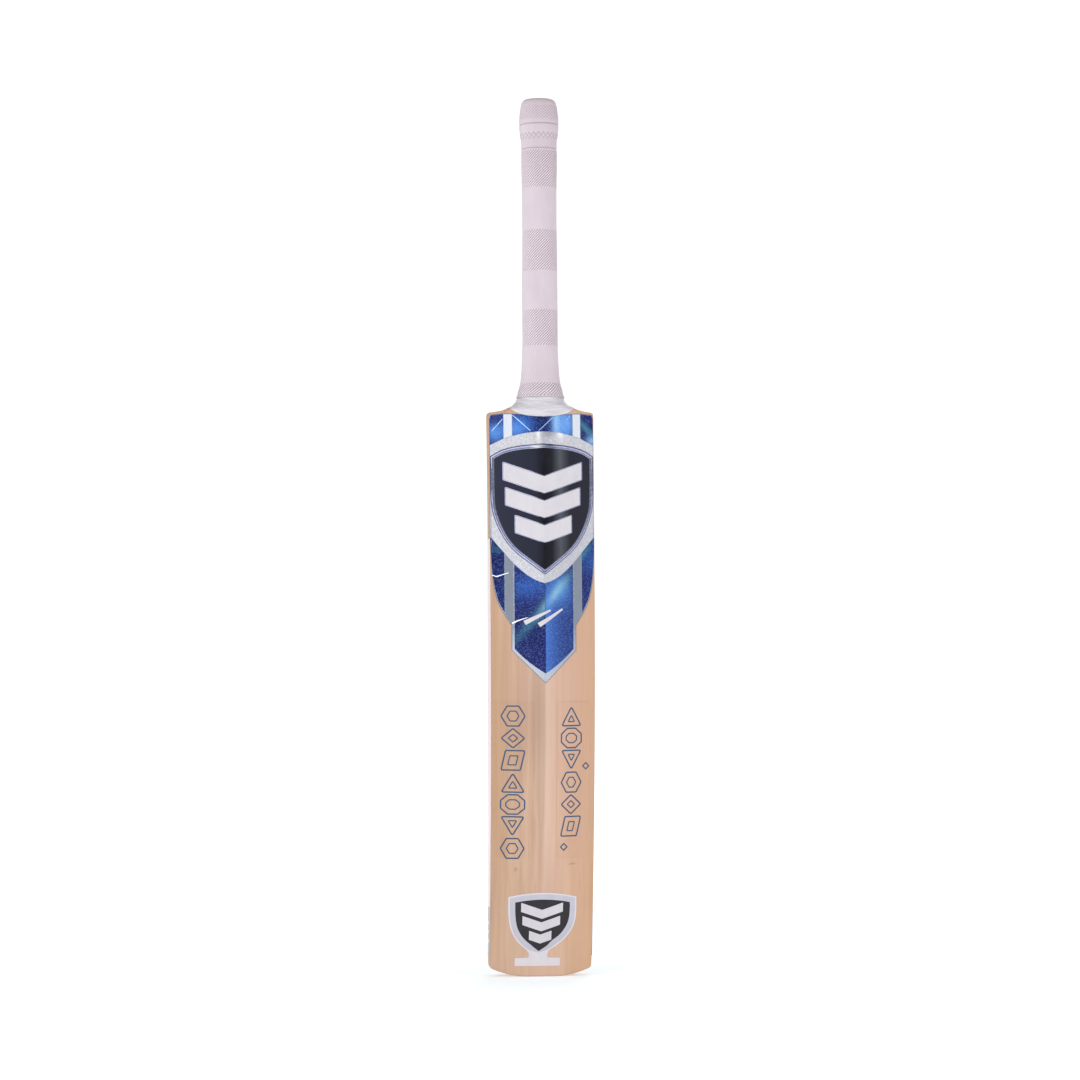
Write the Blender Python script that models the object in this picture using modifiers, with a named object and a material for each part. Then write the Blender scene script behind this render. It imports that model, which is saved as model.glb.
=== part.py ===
"""Cricket bat, full size, with a short handle.

Metres, +Z up. The bat stands on its toe, with the origin in the middle of the toe.
The back, with the spine, faces -Y, and the hitting face is towards +Y.
"""

import math

import bmesh
import bpy
from mathutils import Matrix, Vector

# Driving dimensions
SHOULDER_Z = 0.554
NECK_TOP_Z = 0.596
GAP = 0.0003

# Blade: (height, size) stations, joined by smooth curves
HALF_WIDTH = ((0.0, 0.0498), (0.008, 0.0503), (0.025, 0.0505), (0.23, 0.0509), (0.41, 0.0513),
              (0.53, 0.0519), (0.55, 0.0521), (0.5525, 0.0516), (SHOULDER_Z, 0.05))
EDGE_THICKNESS = ((0.0, 0.023), (0.04, 0.0245), (0.1, 0.0285), (0.2, 0.0335), (0.26, 0.0345),
                  (0.35, 0.0325), (0.45, 0.027), (SHOULDER_Z, 0.023))
SPINE_HEIGHT = ((0.0, 0.0015), (0.03, 0.004), (0.08, 0.0105), (0.14, 0.0175), (0.22, 0.022),
                (0.3, 0.022), (0.4, 0.0205), (SHOULDER_Z, 0.02))
RIDGE_SOFTNESS = ((0.0, 0.8), (0.06, 0.5), (0.12, 0.16), (0.17, 0.07), (0.4, 0.06), (0.47, 0.18),
                  (SHOULDER_Z, 0.45))
BACK_HOLLOW = 1.12
FACE_BULGE = 0.0026
BOW = 0.0145
ARRIS_BACK = 0.002
ARRIS_FACE = 0.003
EDGE_BULGE = 0.0004

# Toe: flat in the middle, rising to the corners
TOE_FLAT = 0.012
TOE_RISE = 0.0085
TOE_BLEND_Z = 0.06
TOE_ROUND = ((0.0, 0.0011), (0.0005, 0.0005), (0.0015, 0.0))

# Neck: (height above the shoulder, size) stations, from the shoulders up to the handle
NECK_HALF_WIDTH = ((0.0, 0.0500), (0.0004, 0.0465), (0.001, 0.0428), (0.0019, 0.0385), (0.003, 0.0350),
                   (0.0042, 0.0320), (0.006, 0.0280), (0.008, 0.0255), (0.0105, 0.0240), (0.0135, 0.0225),
                   (0.019, 0.0198), (0.028, 0.0176), (0.042, 0.0163))
NECK_BACK = ((0.0, 0.0235), (0.014, 0.0202), (0.028, 0.017), (0.042, 0.0153))
NECK_FACE = ((0.0, 0.0221), (0.014, 0.019), (0.028, 0.0168), (0.042, 0.0153))
NECK_ROUND_HEIGHT = 0.013

# Handle axis: it crosses the shoulder line behind the middle of the edges and leans to the face
HANDLE_Y = -0.008
HANDLE_LEAN = math.atan(0.05)
CANE_TOP = 0.3065
CANE_RADIUS = 0.0146
CANE_FOOT_RADIUS = 0.015

# Splice, measured along the handle axis from the shoulder line
SPLICE_TIP = -0.125
SPLICE_TIP_HALF = 0.0012
SPLICE_TOP = 0.012
SPLICE_HALF = 0.015
SPLICE_DEPTH = 0.1

# Cane slips and the rubber springs between their layers
SLIP_HALF_WIDTH = 0.005
SPRING_THICKNESS = 0.0016
SPRING_PITCH = 0.0076
SPRING_DEPTHS = (0.062, 0.08, 0.062)

# Twine bands
TWINE_INNER = 0.01505
TWINE_OUTER = 0.0155
TWINE_LENGTH = 0.046
TWINE_STARTS = (0.055, 0.119, 0.183, 0.247)

# Grip: (height along the axis, radius across X, radius across Y)
GRIP_BOTTOM = 0.0145
GRIP_TOP = 0.3097
GRIP_HOLE = 0.006
GRIP_BORE = 0.01585

FILM = 0.0002
BADGE = 0.0008

# Blade columns, as shares of the half width. Half a section runs over them on the back, then over
# two points of the back arris, the edge's middle and two points of the face arris, then back over
# them on the face.
COLUMNS = (0.0, 0.05, 0.12, 0.22, 0.36, 0.54, 0.74, 0.92)
BACK_COLUMNS = range(len(COLUMNS) + 1)
EDGE_COLUMNS = range(len(COLUMNS) + 1, len(COLUMNS) + 4)
FACE_COLUMNS = range(len(COLUMNS) + 4, 2 * len(COLUMNS) + 5)
ALL_COLUMNS = range(2 * len(COLUMNS) + 5)


def along(stations, position):
    """Value at a position on the smooth curve, free of overshoot, through (position, value) stations."""
    xs = [s[0] for s in stations]
    ys = [s[1] for s in stations]
    if position <= xs[0]:
        return ys[0]
    if position >= xs[-1]:
        return ys[-1]
    slopes = [(ys[i + 1] - ys[i]) / (xs[i + 1] - xs[i]) for i in range(len(xs) - 1)]

    def tangent(i):
        if i == 0:
            return slopes[0]
        if i == len(xs) - 1:
            return slopes[-1]
        before, after = slopes[i - 1], slopes[i]
        return 0.0 if before * after <= 0 else 2 * before * after / (before + after)

    i = max(k for k in range(len(xs) - 1) if xs[k] <= position)
    span = xs[i + 1] - xs[i]
    t = (position - xs[i]) / span
    return (
        ys[i] * (1 + 2 * t) * (1 - t) ** 2
        + tangent(i) * span * t * (1 - t) ** 2
        + ys[i + 1] * t * t * (3 - 2 * t)
        + tangent(i + 1) * span * t * t * (t - 1)
    )


def smoothstep(t):
    t = min(max(t, 0.0), 1.0)
    return t * t * (3 - 2 * t)


# ---------------------------------------------------------------- blade surface


def half_width(z):
    if z > SHOULDER_Z:
        return along(NECK_HALF_WIDTH, z - SHOULDER_Z)
    return along(HALF_WIDTH, z)


def edge_centre(z):
    """Y of the middle of the edge: bowed back in the middle of the blade."""
    half = SHOULDER_Z / 2
    return -BOW * (1 - ((z - half) / half) ** 2)


def axis_y(z):
    """Y of the handle's axis."""
    return HANDLE_Y + math.tan(HANDLE_LEAN) * (z - SHOULDER_Z)


def back_y(x, z):
    """Y of the back of the blade."""
    level = min(z, SHOULDER_Z)
    share = min(abs(x) / along(HALF_WIDTH, min(level, 0.55)), 1.0)
    soft = along(RIDGE_SOFTNESS, level)
    fall = (math.hypot(share, soft) - soft) / (math.hypot(1, soft) - soft)
    height = along(SPINE_HEIGHT, level) * (1 - fall) ** BACK_HOLLOW
    y = edge_centre(level) - along(EDGE_THICKNESS, level) / 2 - height
    if z > SHOULDER_Z:
        shrink = along(NECK_BACK, z - SHOULDER_Z) / NECK_BACK[0][1]
        y = axis_y(z) + shrink * (y - HANDLE_Y)
    return y


def face_y(x, z):
    """Y of the hitting face."""
    level = min(z, SHOULDER_Z)
    share = min(abs(x) / along(HALF_WIDTH, min(level, 0.55)), 1.0)
    y = edge_centre(level) + along(EDGE_THICKNESS, level) / 2 + FACE_BULGE * (1 - share**2)
    if z > SHOULDER_Z:
        shrink = along(NECK_FACE, z - SHOULDER_Z) / NECK_FACE[0][1]
        y = axis_y(z) + shrink * (y - HANDLE_Y)
    return y


def corner(x_side, y, radius, inward):
    """Two points that round an arris; inward is +1 from the back and -1 from the face."""
    points = []
    for angle in (45, 90):
        turn = math.radians(angle)
        points.append((x_side - radius * (1 - math.sin(turn)), y + inward * radius * (1 - math.cos(turn))))
    return points


def blade_side(z):
    """Right half of the section at a height, from the spine round the edge to the face's middle."""
    half = half_width(z)
    columns = [c * half for c in COLUMNS]
    rim = half - ARRIS_BACK
    back = [(x, back_y(x, z)) for x in columns]
    face = [(x, face_y(x, z)) for x in reversed(columns)]
    back_arris = corner(half, back_y(rim, z), ARRIS_BACK, 1)
    face_arris = corner(half, face_y(rim, z), ARRIS_FACE, -1)[::-1]
    middle = (half + EDGE_BULGE, (back_arris[-1][1] + face_arris[0][1]) / 2)
    return back + back_arris + [middle] + face_arris + face


def oval_side(z):
    """Right half of an oval round the handle's axis, point for point like blade_side."""
    above = z - SHOULDER_Z
    half = half_width(z)
    deep_back = along(NECK_BACK, above)
    deep_face = along(NECK_FACE, above)
    shares = list(COLUMNS) + [0.97, 0.993]
    back = [(s * half, axis_y(z) - deep_back * math.sqrt(1 - s * s)) for s in shares]
    face = [(s * half, axis_y(z) + deep_face * math.sqrt(1 - s * s)) for s in reversed(shares)]
    return back + [(half, axis_y(z))] + face


def section(z):
    """Closed section of the blade at a height, as points (x, y) from the spine round to the left."""
    side = blade_side(z)
    if z > SHOULDER_Z:
        blend = smoothstep((z - SHOULDER_Z) / NECK_ROUND_HEIGHT)
        side = [
            (a[0] + blend * (b[0] - a[0]), a[1] + blend * (b[1] - a[1]))
            for a, b in zip(side, oval_side(z))
        ]
    return side + [(-x, y) for x, y in side[-2:0:-1]]


def toe_rise(x):
    outside = max(abs(x) - TOE_FLAT, 0) / (HALF_WIDTH[0][1] - TOE_FLAT)
    return TOE_RISE * outside**2


def blade_ring(z):
    """Section at a height, bent up towards the toe's corners and drawn in where the toe is rounded."""
    inset = along(TOE_ROUND, z)
    fade = 1 - smoothstep(z / TOE_BLEND_Z)
    half = half_width(z)
    ring = []
    for x, y in section(z):
        centre = edge_centre(min(z, SHOULDER_Z))
        reach = max(abs(y - centre), 0.001)
        x_in = x * (1 - inset / half)
        y_in = centre + (y - centre) * max(1 - inset / reach, 0.3) if inset else y
        ring.append(Vector((x_in, y_in, z + toe_rise(x_in) * fade)))
    return ring


def blade_heights():
    toe = [0.0, 0.0005, 0.0015, 0.006, 0.012, 0.022, 0.035, 0.05, 0.07]
    body = [0.095 + 0.02175 * i for i in range(21)]
    shoulder = [0.545, 0.55, 0.5525, SHOULDER_Z]
    neck = [SHOULDER_Z + h for h in (0.0004, 0.001, 0.0019, 0.003, 0.0042, 0.006, 0.008, 0.0105, 0.0135,
                                     0.019, 0.028)]
    return toe + body + shoulder + neck + [NECK_TOP_Z]


# ---------------------------------------------------------------- building helpers


def clear_scene():
    for old in list(bpy.data.objects):
        bpy.data.objects.remove(old, do_unlink=True)


def collection(name):
    made = bpy.data.collections.new(name)
    bpy.context.scene.collection.children.link(made)
    return made


def linear(byte):
    c = byte / 255
    return c / 12.92 if c <= 0.04045 else ((c + 0.055) / 1.055) ** 2.4


def material(name, colour, roughness, metallic=0.0):
    made = bpy.data.materials.new(name)
    made.use_nodes = True
    shader = made.node_tree.nodes["Principled BSDF"]
    shader.inputs["Base Color"].default_value = (*[linear(c) for c in colour], 1.0)
    shader.inputs["Roughness"].default_value = roughness
    shader.inputs["Metallic"].default_value = metallic
    return made


def place(name, mesh, group, finish=None):
    made = bpy.data.objects.new(name, mesh)
    group.objects.link(made)
    if finish:
        mesh.materials.append(finish)
    return made


def mesh_from(name, vertices, faces):
    mesh = bpy.data.meshes.new(name)
    mesh.from_pydata([tuple(v) for v in vertices], [], faces)
    shell = bmesh.new()
    shell.from_mesh(mesh)
    bmesh.ops.recalc_face_normals(shell, faces=shell.faces)
    shell.to_mesh(mesh)
    shell.free()
    mesh.shade_smooth()
    mesh.set_sharp_from_angle(angle=math.radians(35))
    return mesh


def ring_faces(ring_count, size, closed):
    """Triangles between successive rings of one size; closed also joins the last ring to the first."""
    last = ring_count if closed else ring_count - 1
    faces = []
    for r in range(last):
        for i in range(size):
            j = (i + 1) % size
            above = (r + 1) % ring_count
            faces.append((r * size + i, r * size + j, above * size + j))
            faces.append((r * size + i, above * size + j, above * size + i))
    return faces


def cap_faces(size, first):
    """Strips across a section from the back to the face, each between two neighbouring columns."""
    middle = size // 2
    faces = []
    for k in range(middle // 2):
        right = (k, k + 1, middle - k - 1, middle - k)
        left = tuple((size - i) % size for i in right)
        faces += [right, left]
    return [tuple(first + i for i in dict.fromkeys(face)) for face in faces]


def hide_as_cutter(cutter):
    cutter.hide_render = True
    cutter.display_type = "WIRE"
    return cutter


def boolean(target, tool, operation):
    cut = target.modifiers.new(operation.title(), "BOOLEAN")
    cut.operation = operation
    cut.solver = "EXACT"
    cut.object = tool


def outline_solid(name, points, thickness, matrix, group):
    """Solid from a flat outline, extruded half its thickness each way, as a mesh."""
    curve = bpy.data.curves.new(name, "CURVE")
    curve.dimensions = "2D"
    curve.fill_mode = "BOTH"
    curve.extrude = thickness / 2
    spline = curve.splines.new("POLY")
    spline.points.add(len(points) - 1)
    for point, (a, b) in zip(spline.points, points):
        point.co = (a, b, 0, 1)
    spline.use_cyclic_u = True
    flat = bpy.data.objects.new(name + "_outline", curve)
    group.objects.link(flat)
    flat.matrix_world = matrix
    bpy.context.view_layer.update()
    evaluated = flat.evaluated_get(bpy.context.evaluated_depsgraph_get())
    mesh = bpy.data.meshes.new_from_object(evaluated)
    welded = bmesh.new()
    welded.from_mesh(mesh)
    bmesh.ops.remove_doubles(welded, verts=welded.verts, dist=0.00001)
    bmesh.ops.recalc_face_normals(welded, faces=welded.faces)
    welded.to_mesh(mesh)
    welded.free()
    bpy.data.objects.remove(flat)
    solid = bpy.data.objects.new(name, mesh)
    group.objects.link(solid)
    solid.matrix_world = matrix
    return solid


def turned(name, profile, group, finish, steps=32):
    """Solid turned about Z from a profile at +X that runs down its outer side."""
    mesh = bpy.data.meshes.new(name)
    edges = [(i, (i + 1) % len(profile)) for i in range(len(profile))]
    if profile[0][0] == 0:
        edges.pop()
    mesh.from_pydata([(r, 0, z) for r, z in profile], edges, [])
    made = place(name, mesh, group, finish)
    screw = made.modifiers.new("Turn", "SCREW")
    screw.axis = "Z"
    screw.steps = steps
    screw.render_steps = steps
    screw.use_merge_vertices = True
    screw.merge_threshold = 0.00001
    screw.use_smooth_shade = True
    return made


# ---------------------------------------------------------------- films on the blade


def skin(name, blade, columns, low, high, side=0):
    """Open copy of the blade's surface: some mesh columns, counted from the spine, from low to high.

    Side 1 keeps only the right half and -1 only the left half.
    """
    size = 2 * len(blade_side(low)) - 2
    heights = blade_heights()
    first = max(i for i, z in enumerate(heights) if z <= low)
    last = min(i for i, z in enumerate(heights) if z >= high)

    def kept(vertex):
        ring, k = divmod(vertex.index, size)
        on_side = side == 0 or vertex.co.x * side > 0
        return first <= ring <= last and min(k, size - k) in columns and on_side

    shell = bmesh.new()
    shell.from_mesh(blade.data)
    shell.verts.index_update()
    dropped = [v for v in shell.verts if not kept(v)]
    bmesh.ops.delete(shell, geom=dropped, context="VERTS")
    mesh = bpy.data.meshes.new(name)
    shell.to_mesh(mesh)
    shell.free()
    return mesh


def film(name, mesh, outline, lift, thickness, layers, finish):
    """Film on an open skin: lifted off it, given its thickness outwards, and cut to an outline in X and Z."""
    parts, cutters = layers
    made = place(name, mesh, parts, finish)
    off = made.modifiers.new("Lift", "DISPLACE")
    off.strength = lift
    off.mid_level = 0
    shell = made.modifiers.new("Thickness", "SOLIDIFY")
    shell.thickness = thickness
    shell.offset = 1
    shell.use_even_offset = True
    boolean(made, hide_as_cutter(outline_solid(name + "_cut", outline, 0.2, upright(), cutters)), "INTERSECT")


def mirrored(right_half):
    """Closed outline from its right half, listed from the middle top to the middle bottom."""
    return right_half + [(-x, z) for x, z in reversed(right_half) if x > 0]


# ---------------------------------------------------------------- parts


def make_blade(parts, cutters, finishes):
    rings = [blade_ring(z) for z in blade_heights()]
    size = len(rings[0])
    vertices = [v for ring in rings for v in ring]
    faces = ring_faces(len(rings), size, closed=False)
    faces += cap_faces(size, 0) + cap_faces(size, (len(rings) - 1) * size)
    mesh = mesh_from("blade", vertices, faces)
    blank = hide_as_cutter(place("blade_blank", mesh.copy(), cutters))
    blade = place("blade", mesh, parts, finishes["willow"])
    return blade, blank


def splice_outline(clearance):
    """V of the splice in X and along the handle, wider and longer by a clearance."""
    tip = SPLICE_TIP - clearance
    half = SPLICE_HALF + clearance
    right = [(half, SPLICE_DEPTH), (half, SPLICE_TOP), (SPLICE_TIP_HALF + clearance, tip)]
    return right + [(-x, z) for x, z in reversed(right)]


def handle_frame():
    """Matrix of the handle: origin on the shoulder line, Z along the handle."""
    return Matrix.Translation((0, HANDLE_Y, SHOULDER_Z)) @ Matrix.Rotation(-HANDLE_LEAN, 4, "X")


def upright():
    """Turns an outline from the XY plane into the XZ plane."""
    return Matrix.Rotation(math.radians(90), 4, "X")


def sideways():
    """Turns an outline from the XY plane into the YZ plane, with its thickness along X."""
    return Matrix(((0, 0, 1, 0), (1, 0, 0, 0), (0, 1, 0, 0), (0, 0, 0, 1)))


def make_handle_form(cutters, blank):
    """Outer shape of the whole cane handle: a turned shaft joined to the wedge in the splice."""
    frame = handle_frame()
    wedge = outline_solid("splice_wedge", splice_outline(0), 0.09, frame @ upright(), cutters)
    boolean(hide_as_cutter(wedge), blank, "INTERSECT")
    chamfer = 0.0015
    profile = [
        (0, CANE_TOP),
        (CANE_RADIUS - chamfer, CANE_TOP),
        (CANE_RADIUS, CANE_TOP - chamfer),
        (CANE_RADIUS, 0.07),
        (CANE_FOOT_RADIUS - 0.0001, 0.05),
        (CANE_FOOT_RADIUS - 0.0001, 0.02),
        (0, 0.02),
    ]
    form = turned("handle_form", profile, cutters, None)
    form.matrix_world = frame
    boolean(hide_as_cutter(form), wedge, "UNION")
    return form


def layer_outline(layer):
    """Outline in Y and along the handle of one of the four layers, with room for the springs."""
    low = SPLICE_TIP - 0.01
    high = CANE_TOP + 0.01
    outer = 0.04
    rubber = SPRING_THICKNESS / 2 + GAP
    glue = GAP / 2
    centres = (-outer, -SPRING_PITCH, 0.0, SPRING_PITCH, outer)
    depths = (None, *SPRING_DEPTHS, None)
    near, far = centres[layer], centres[layer + 1]
    near_depth, far_depth = depths[layer], depths[layer + 1]
    points = []
    if near_depth is None:
        points += [(near, high), (near, low)]
    else:
        foot = -near_depth - GAP
        points += [(near + rubber, high), (near + rubber, foot), (near + glue, foot), (near + glue, low)]
    if far_depth is None:
        points += [(far, low), (far, high)]
    else:
        foot = -far_depth - GAP
        points += [(far - glue, low), (far - glue, foot), (far - rubber, foot), (far - rubber, high)]
    return points


def make_cane_slips(parts, finishes, form):
    """Twelve slips: four layers from back to face, each three slips wide."""
    frame = handle_frame()
    outer = 0.03
    bounds = {
        "left": (-outer, -SLIP_HALF_WIDTH - GAP / 2),
        "centre": (-SLIP_HALF_WIDTH + GAP / 2, SLIP_HALF_WIDTH - GAP / 2),
        "right": (SLIP_HALF_WIDTH + GAP / 2, outer),
    }
    for layer, layer_name in enumerate(("back", "inner_back", "inner_face", "face")):
        for side, (low, high) in bounds.items():
            shift = Matrix.Translation(((low + high) / 2, 0, 0))
            name = f"cane_slip_{layer_name}_{side}"
            slip = outline_solid(name, layer_outline(layer), high - low, frame @ shift @ sideways(), parts)
            slip.data.materials.append(finishes["cane"])
            boolean(slip, form, "INTERSECT")


def make_springs(parts, finishes, form):
    """Three flat rubber strips parallel to the face, from the handle's top into the splice."""
    frame = handle_frame()
    for index, name in enumerate(("spring_strip_back", "spring_strip_middle", "spring_strip_face")):
        centre = (index - 1) * SPRING_PITCH
        back, face = centre - SPRING_THICKNESS / 2, centre + SPRING_THICKNESS / 2
        low, high = -SPRING_DEPTHS[index], CANE_TOP + 0.01
        outline = [(back, high), (back, low), (face, low), (face, high)]
        strip = outline_solid(name, outline, 0.06, frame @ sideways(), parts)
        strip.data.materials.append(finishes["spring_rubber"])
        boolean(strip, form, "INTERSECT")


def make_twine(parts, finishes, axis):
    """Four close-wound bands of twine, as sleeves with rounded ends."""
    for number, start in enumerate(TWINE_STARTS, 1):
        end = start + TWINE_LENGTH
        lip = 0.0003
        profile = [
            (TWINE_INNER, end),
            (TWINE_OUTER - lip, end),
            (TWINE_OUTER, end - lip),
            (TWINE_OUTER, start + lip),
            (TWINE_OUTER - lip, start),
            (TWINE_INNER, start),
        ]
        band = turned(f"twine_band_{number}", profile, parts, finishes["twine"], steps=36)
        band.parent = axis


def grip_outer():
    """(height, radius in X, radius in Y) up the outside of the grip."""
    sleeve = [
        (GRIP_BOTTOM, 0.0240, 0.0226),
        (0.017, 0.0229, 0.0218),
        (0.021, 0.0220, 0.0212),
        (0.028, 0.0200, 0.0194),
        (0.042, 0.0185, 0.0183),
        (0.057, 0.0178, 0.0178),
        (0.072, 0.0175, 0.0175),
        (0.102, 0.0175, 0.0175),
        (0.161, 0.0173, 0.0173),
        (0.19, 0.017, 0.017),
        (0.22, 0.01715, 0.01715),
        (0.249, 0.0177, 0.0177),
        (0.2595, 0.0176, 0.0176),
        (0.2605, 0.0169, 0.0169),
        (0.2615, 0.0176, 0.0176),
        (0.27, 0.0177, 0.0177),
        (0.278, 0.0191, 0.0191),
        (0.2835, 0.0195, 0.0195),
        (0.2845, 0.0188, 0.0188),
        (0.2855, 0.0195, 0.0195),
        (0.29, 0.0194, 0.0194),
        (0.297, 0.0187, 0.0187),
        (0.3025, 0.0179, 0.0179),
        (0.3065, 0.0168, 0.0168),
        (0.3088, 0.0152, 0.0152),
        (GRIP_TOP, 0.0135, 0.0135),
        (GRIP_TOP, GRIP_HOLE, GRIP_HOLE),
    ]
    return sleeve


def grip_inner():
    """(height, radius in X, radius in Y) down the inside of the grip."""
    ceiling = CANE_TOP + GAP
    return [
        (ceiling, GRIP_HOLE, GRIP_HOLE),
        (ceiling, GRIP_BORE, GRIP_BORE),
        (0.16, GRIP_BORE, GRIP_BORE),
        (0.072, GRIP_BORE, GRIP_BORE),
        (0.057, 0.0162, 0.0160),
        (0.042, 0.0170, 0.0166),
        (0.028, 0.0184, 0.0178),
        (0.021, 0.0206, 0.0197),
        (0.017, 0.0220, 0.0208),
        (GRIP_BOTTOM, 0.0233, 0.0218),
    ]


def make_grip(parts, finishes, axis, segments=28):
    rings = grip_outer() + grip_inner()
    vertices = []
    for height, across, deep in rings:
        for s in range(segments):
            turn = 2 * math.pi * s / segments
            vertices.append((across * math.cos(turn), deep * math.sin(turn), height))
    mesh = mesh_from("grip", vertices, ring_faces(len(rings), segments, closed=True))
    grip = place("grip", mesh, parts, finishes["grip_rubber"])
    grip.parent = axis


def make_neck_tape(blade, layers, finishes):
    """Tape round the neck: its lower edge dips in the middle."""
    top = SHOULDER_Z + 0.019
    outline = mirrored([
        (0.0, top), (0.04, top), (0.04, 0.5596), (0.033, 0.5592), (0.0295, 0.5562), (0.0215, 0.5522),
        (0.012, 0.5503), (0.0, 0.5497),
    ])
    mesh = skin("neck_tape", blade, ALL_COLUMNS, 0.545, top)
    film("neck_tape", mesh, outline, GAP, 0.0005, layers, finishes["tape"])


def make_back_stickers(blade, layers, finishes):
    main = mirrored([
        (0.0, 0.5494), (0.012, 0.55), (0.0215, 0.5518), (0.03, 0.5525), (0.04, 0.5526), (0.0497, 0.5515),
        (0.0508, 0.548), (0.0508, 0.44), (0.0495, 0.394), (0.0455, 0.372), (0.0385, 0.356),
        (0.0315, 0.3455), (0.0315, 0.321), (0.0, 0.2895),
    ])
    mesh = skin("main_back_sticker", blade, BACK_COLUMNS, 0.28, SHOULDER_Z)
    film("main_back_sticker", mesh, main, GAP, FILM, layers, finishes["foil_blue"])

    badge = mirrored([
        (0.0, 0.5225), (0.023, 0.5205), (0.039, 0.5167), (0.0502, 0.5105), (0.0502, 0.4835),
        (0.0493, 0.4615), (0.045, 0.4455), (0.0375, 0.43), (0.028, 0.418), (0.016, 0.408), (0.0, 0.3955),
    ])
    mesh = skin("badge", blade, BACK_COLUMNS, 0.39, 0.53)
    film("badge", mesh, badge, 2 * GAP + FILM, BADGE, layers, finishes["badge_black"])

    lower = [
        (0.0, 0.084), (0.018, 0.0826), (0.0335, 0.0795), (0.0334, 0.0613), (0.0303, 0.049), (0.0228, 0.038),
        (0.0142, 0.031), (0.0068, 0.026), (0.0056, 0.0225), (0.0058, 0.0193), (0.0184, 0.0188),
        (0.0184, 0.0108), (-0.0262, 0.0108), (-0.0262, 0.0188), (-0.0128, 0.0193), (-0.0124, 0.0233),
        (-0.0147, 0.0265), (-0.0239, 0.035), (-0.0303, 0.0462), (-0.033, 0.06), (-0.0335, 0.0795),
        (-0.018, 0.0826),
    ]
    mesh = skin("lower_back_sticker", blade, BACK_COLUMNS, 0.006, 0.095)
    film("lower_back_sticker", mesh, lower, GAP, FILM, layers, finishes["foil_silver"])

    panel = [(0.0115, 0.118), (0.0465, 0.118), (0.0465, 0.271), (0.0115, 0.271)]
    for name, side in (("right_outline_decal", 1), ("left_outline_decal", -1)):
        mesh = skin(name, blade, BACK_COLUMNS, 0.11, 0.28, side)
        outline = [(side * x, z) for x, z in panel]
        film(name, mesh, outline, GAP, FILM, layers, finishes["clear_film"])


def make_face_sticker(blade, layers, finishes):
    outline = mirrored([(0.0, 0.535), (0.03, 0.535), (0.03, 0.455), (0.0, 0.425)])
    mesh = skin("face_sticker", blade, FACE_COLUMNS, 0.42, 0.54)
    film("face_sticker", mesh, outline, GAP, FILM, layers, finishes["foil_silver"])


def make_edge_stickers(blade, layers, finishes):
    """A strip along each edge of the blade, between its arrises."""
    outline = mirrored([(0.0, 0.43), (0.06, 0.43), (0.06, 0.02), (0.0, 0.02)])
    for name, side in (("right_edge_sticker", 1), ("left_edge_sticker", -1)):
        mesh = skin(name, blade, EDGE_COLUMNS, 0.01, 0.45, side)
        film(name, mesh, outline, GAP, FILM, layers, finishes["edge_white"])


def make_finishes():
    return {
        "willow": material("willow", (214, 178, 150), 0.55),
        "cane": material("cane", (196, 158, 108), 0.6),
        "spring_rubber": material("spring_rubber", (40, 38, 38), 0.8),
        "twine": material("twine", (205, 190, 160), 0.85),
        "grip_rubber": material("grip_rubber", (216, 203, 211), 0.7),
        "tape": material("tape", (232, 228, 232), 0.5),
        "foil_blue": material("foil_blue", (55, 75, 150), 0.3, 0.6),
        "foil_silver": material("foil_silver", (205, 205, 212), 0.35, 0.7),
        "badge_black": material("badge_black", (46, 50, 62), 0.4),
        "clear_film": material("clear_film", (208, 168, 135), 0.4),
        "edge_white": material("edge_white", (240, 228, 226), 0.45),
    }


def main():
    clear_scene()
    parts = collection("cricket_bat")
    cutters = collection("cutters")
    finishes = make_finishes()

    axis = bpy.data.objects.new("handle_axis", None)
    parts.objects.link(axis)
    axis.matrix_world = handle_frame()

    blade, blank = make_blade(parts, cutters, finishes)
    socket = outline_solid("splice_socket", splice_outline(GAP), 0.12, handle_frame() @ upright(), cutters)
    boolean(blade, hide_as_cutter(socket), "DIFFERENCE")
    form = make_handle_form(cutters, blank)
    make_cane_slips(parts, finishes, form)
    make_springs(parts, finishes, form)
    make_twine(parts, finishes, axis)
    make_grip(parts, finishes, axis)
    layers = (parts, cutters)
    make_neck_tape(blade, layers, finishes)
    make_back_stickers(blade, layers, finishes)
    make_face_sticker(blade, layers, finishes)
    make_edge_stickers(blade, layers, finishes)


main()
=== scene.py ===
"""Looks of a full-size cricket bat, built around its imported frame.

Metres, +Z up, in the frame of the CAD model: origin in the middle of the toe, the back with the
spine towards -Y, the hitting face towards +Y. Outlines that lie on the blade are in millimetres.
"""

import functools
import math

import bmesh
import bpy
import numpy as np
from mathutils import Matrix, Vector
from mathutils.geometry import delaunay_2d_cdt


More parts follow.
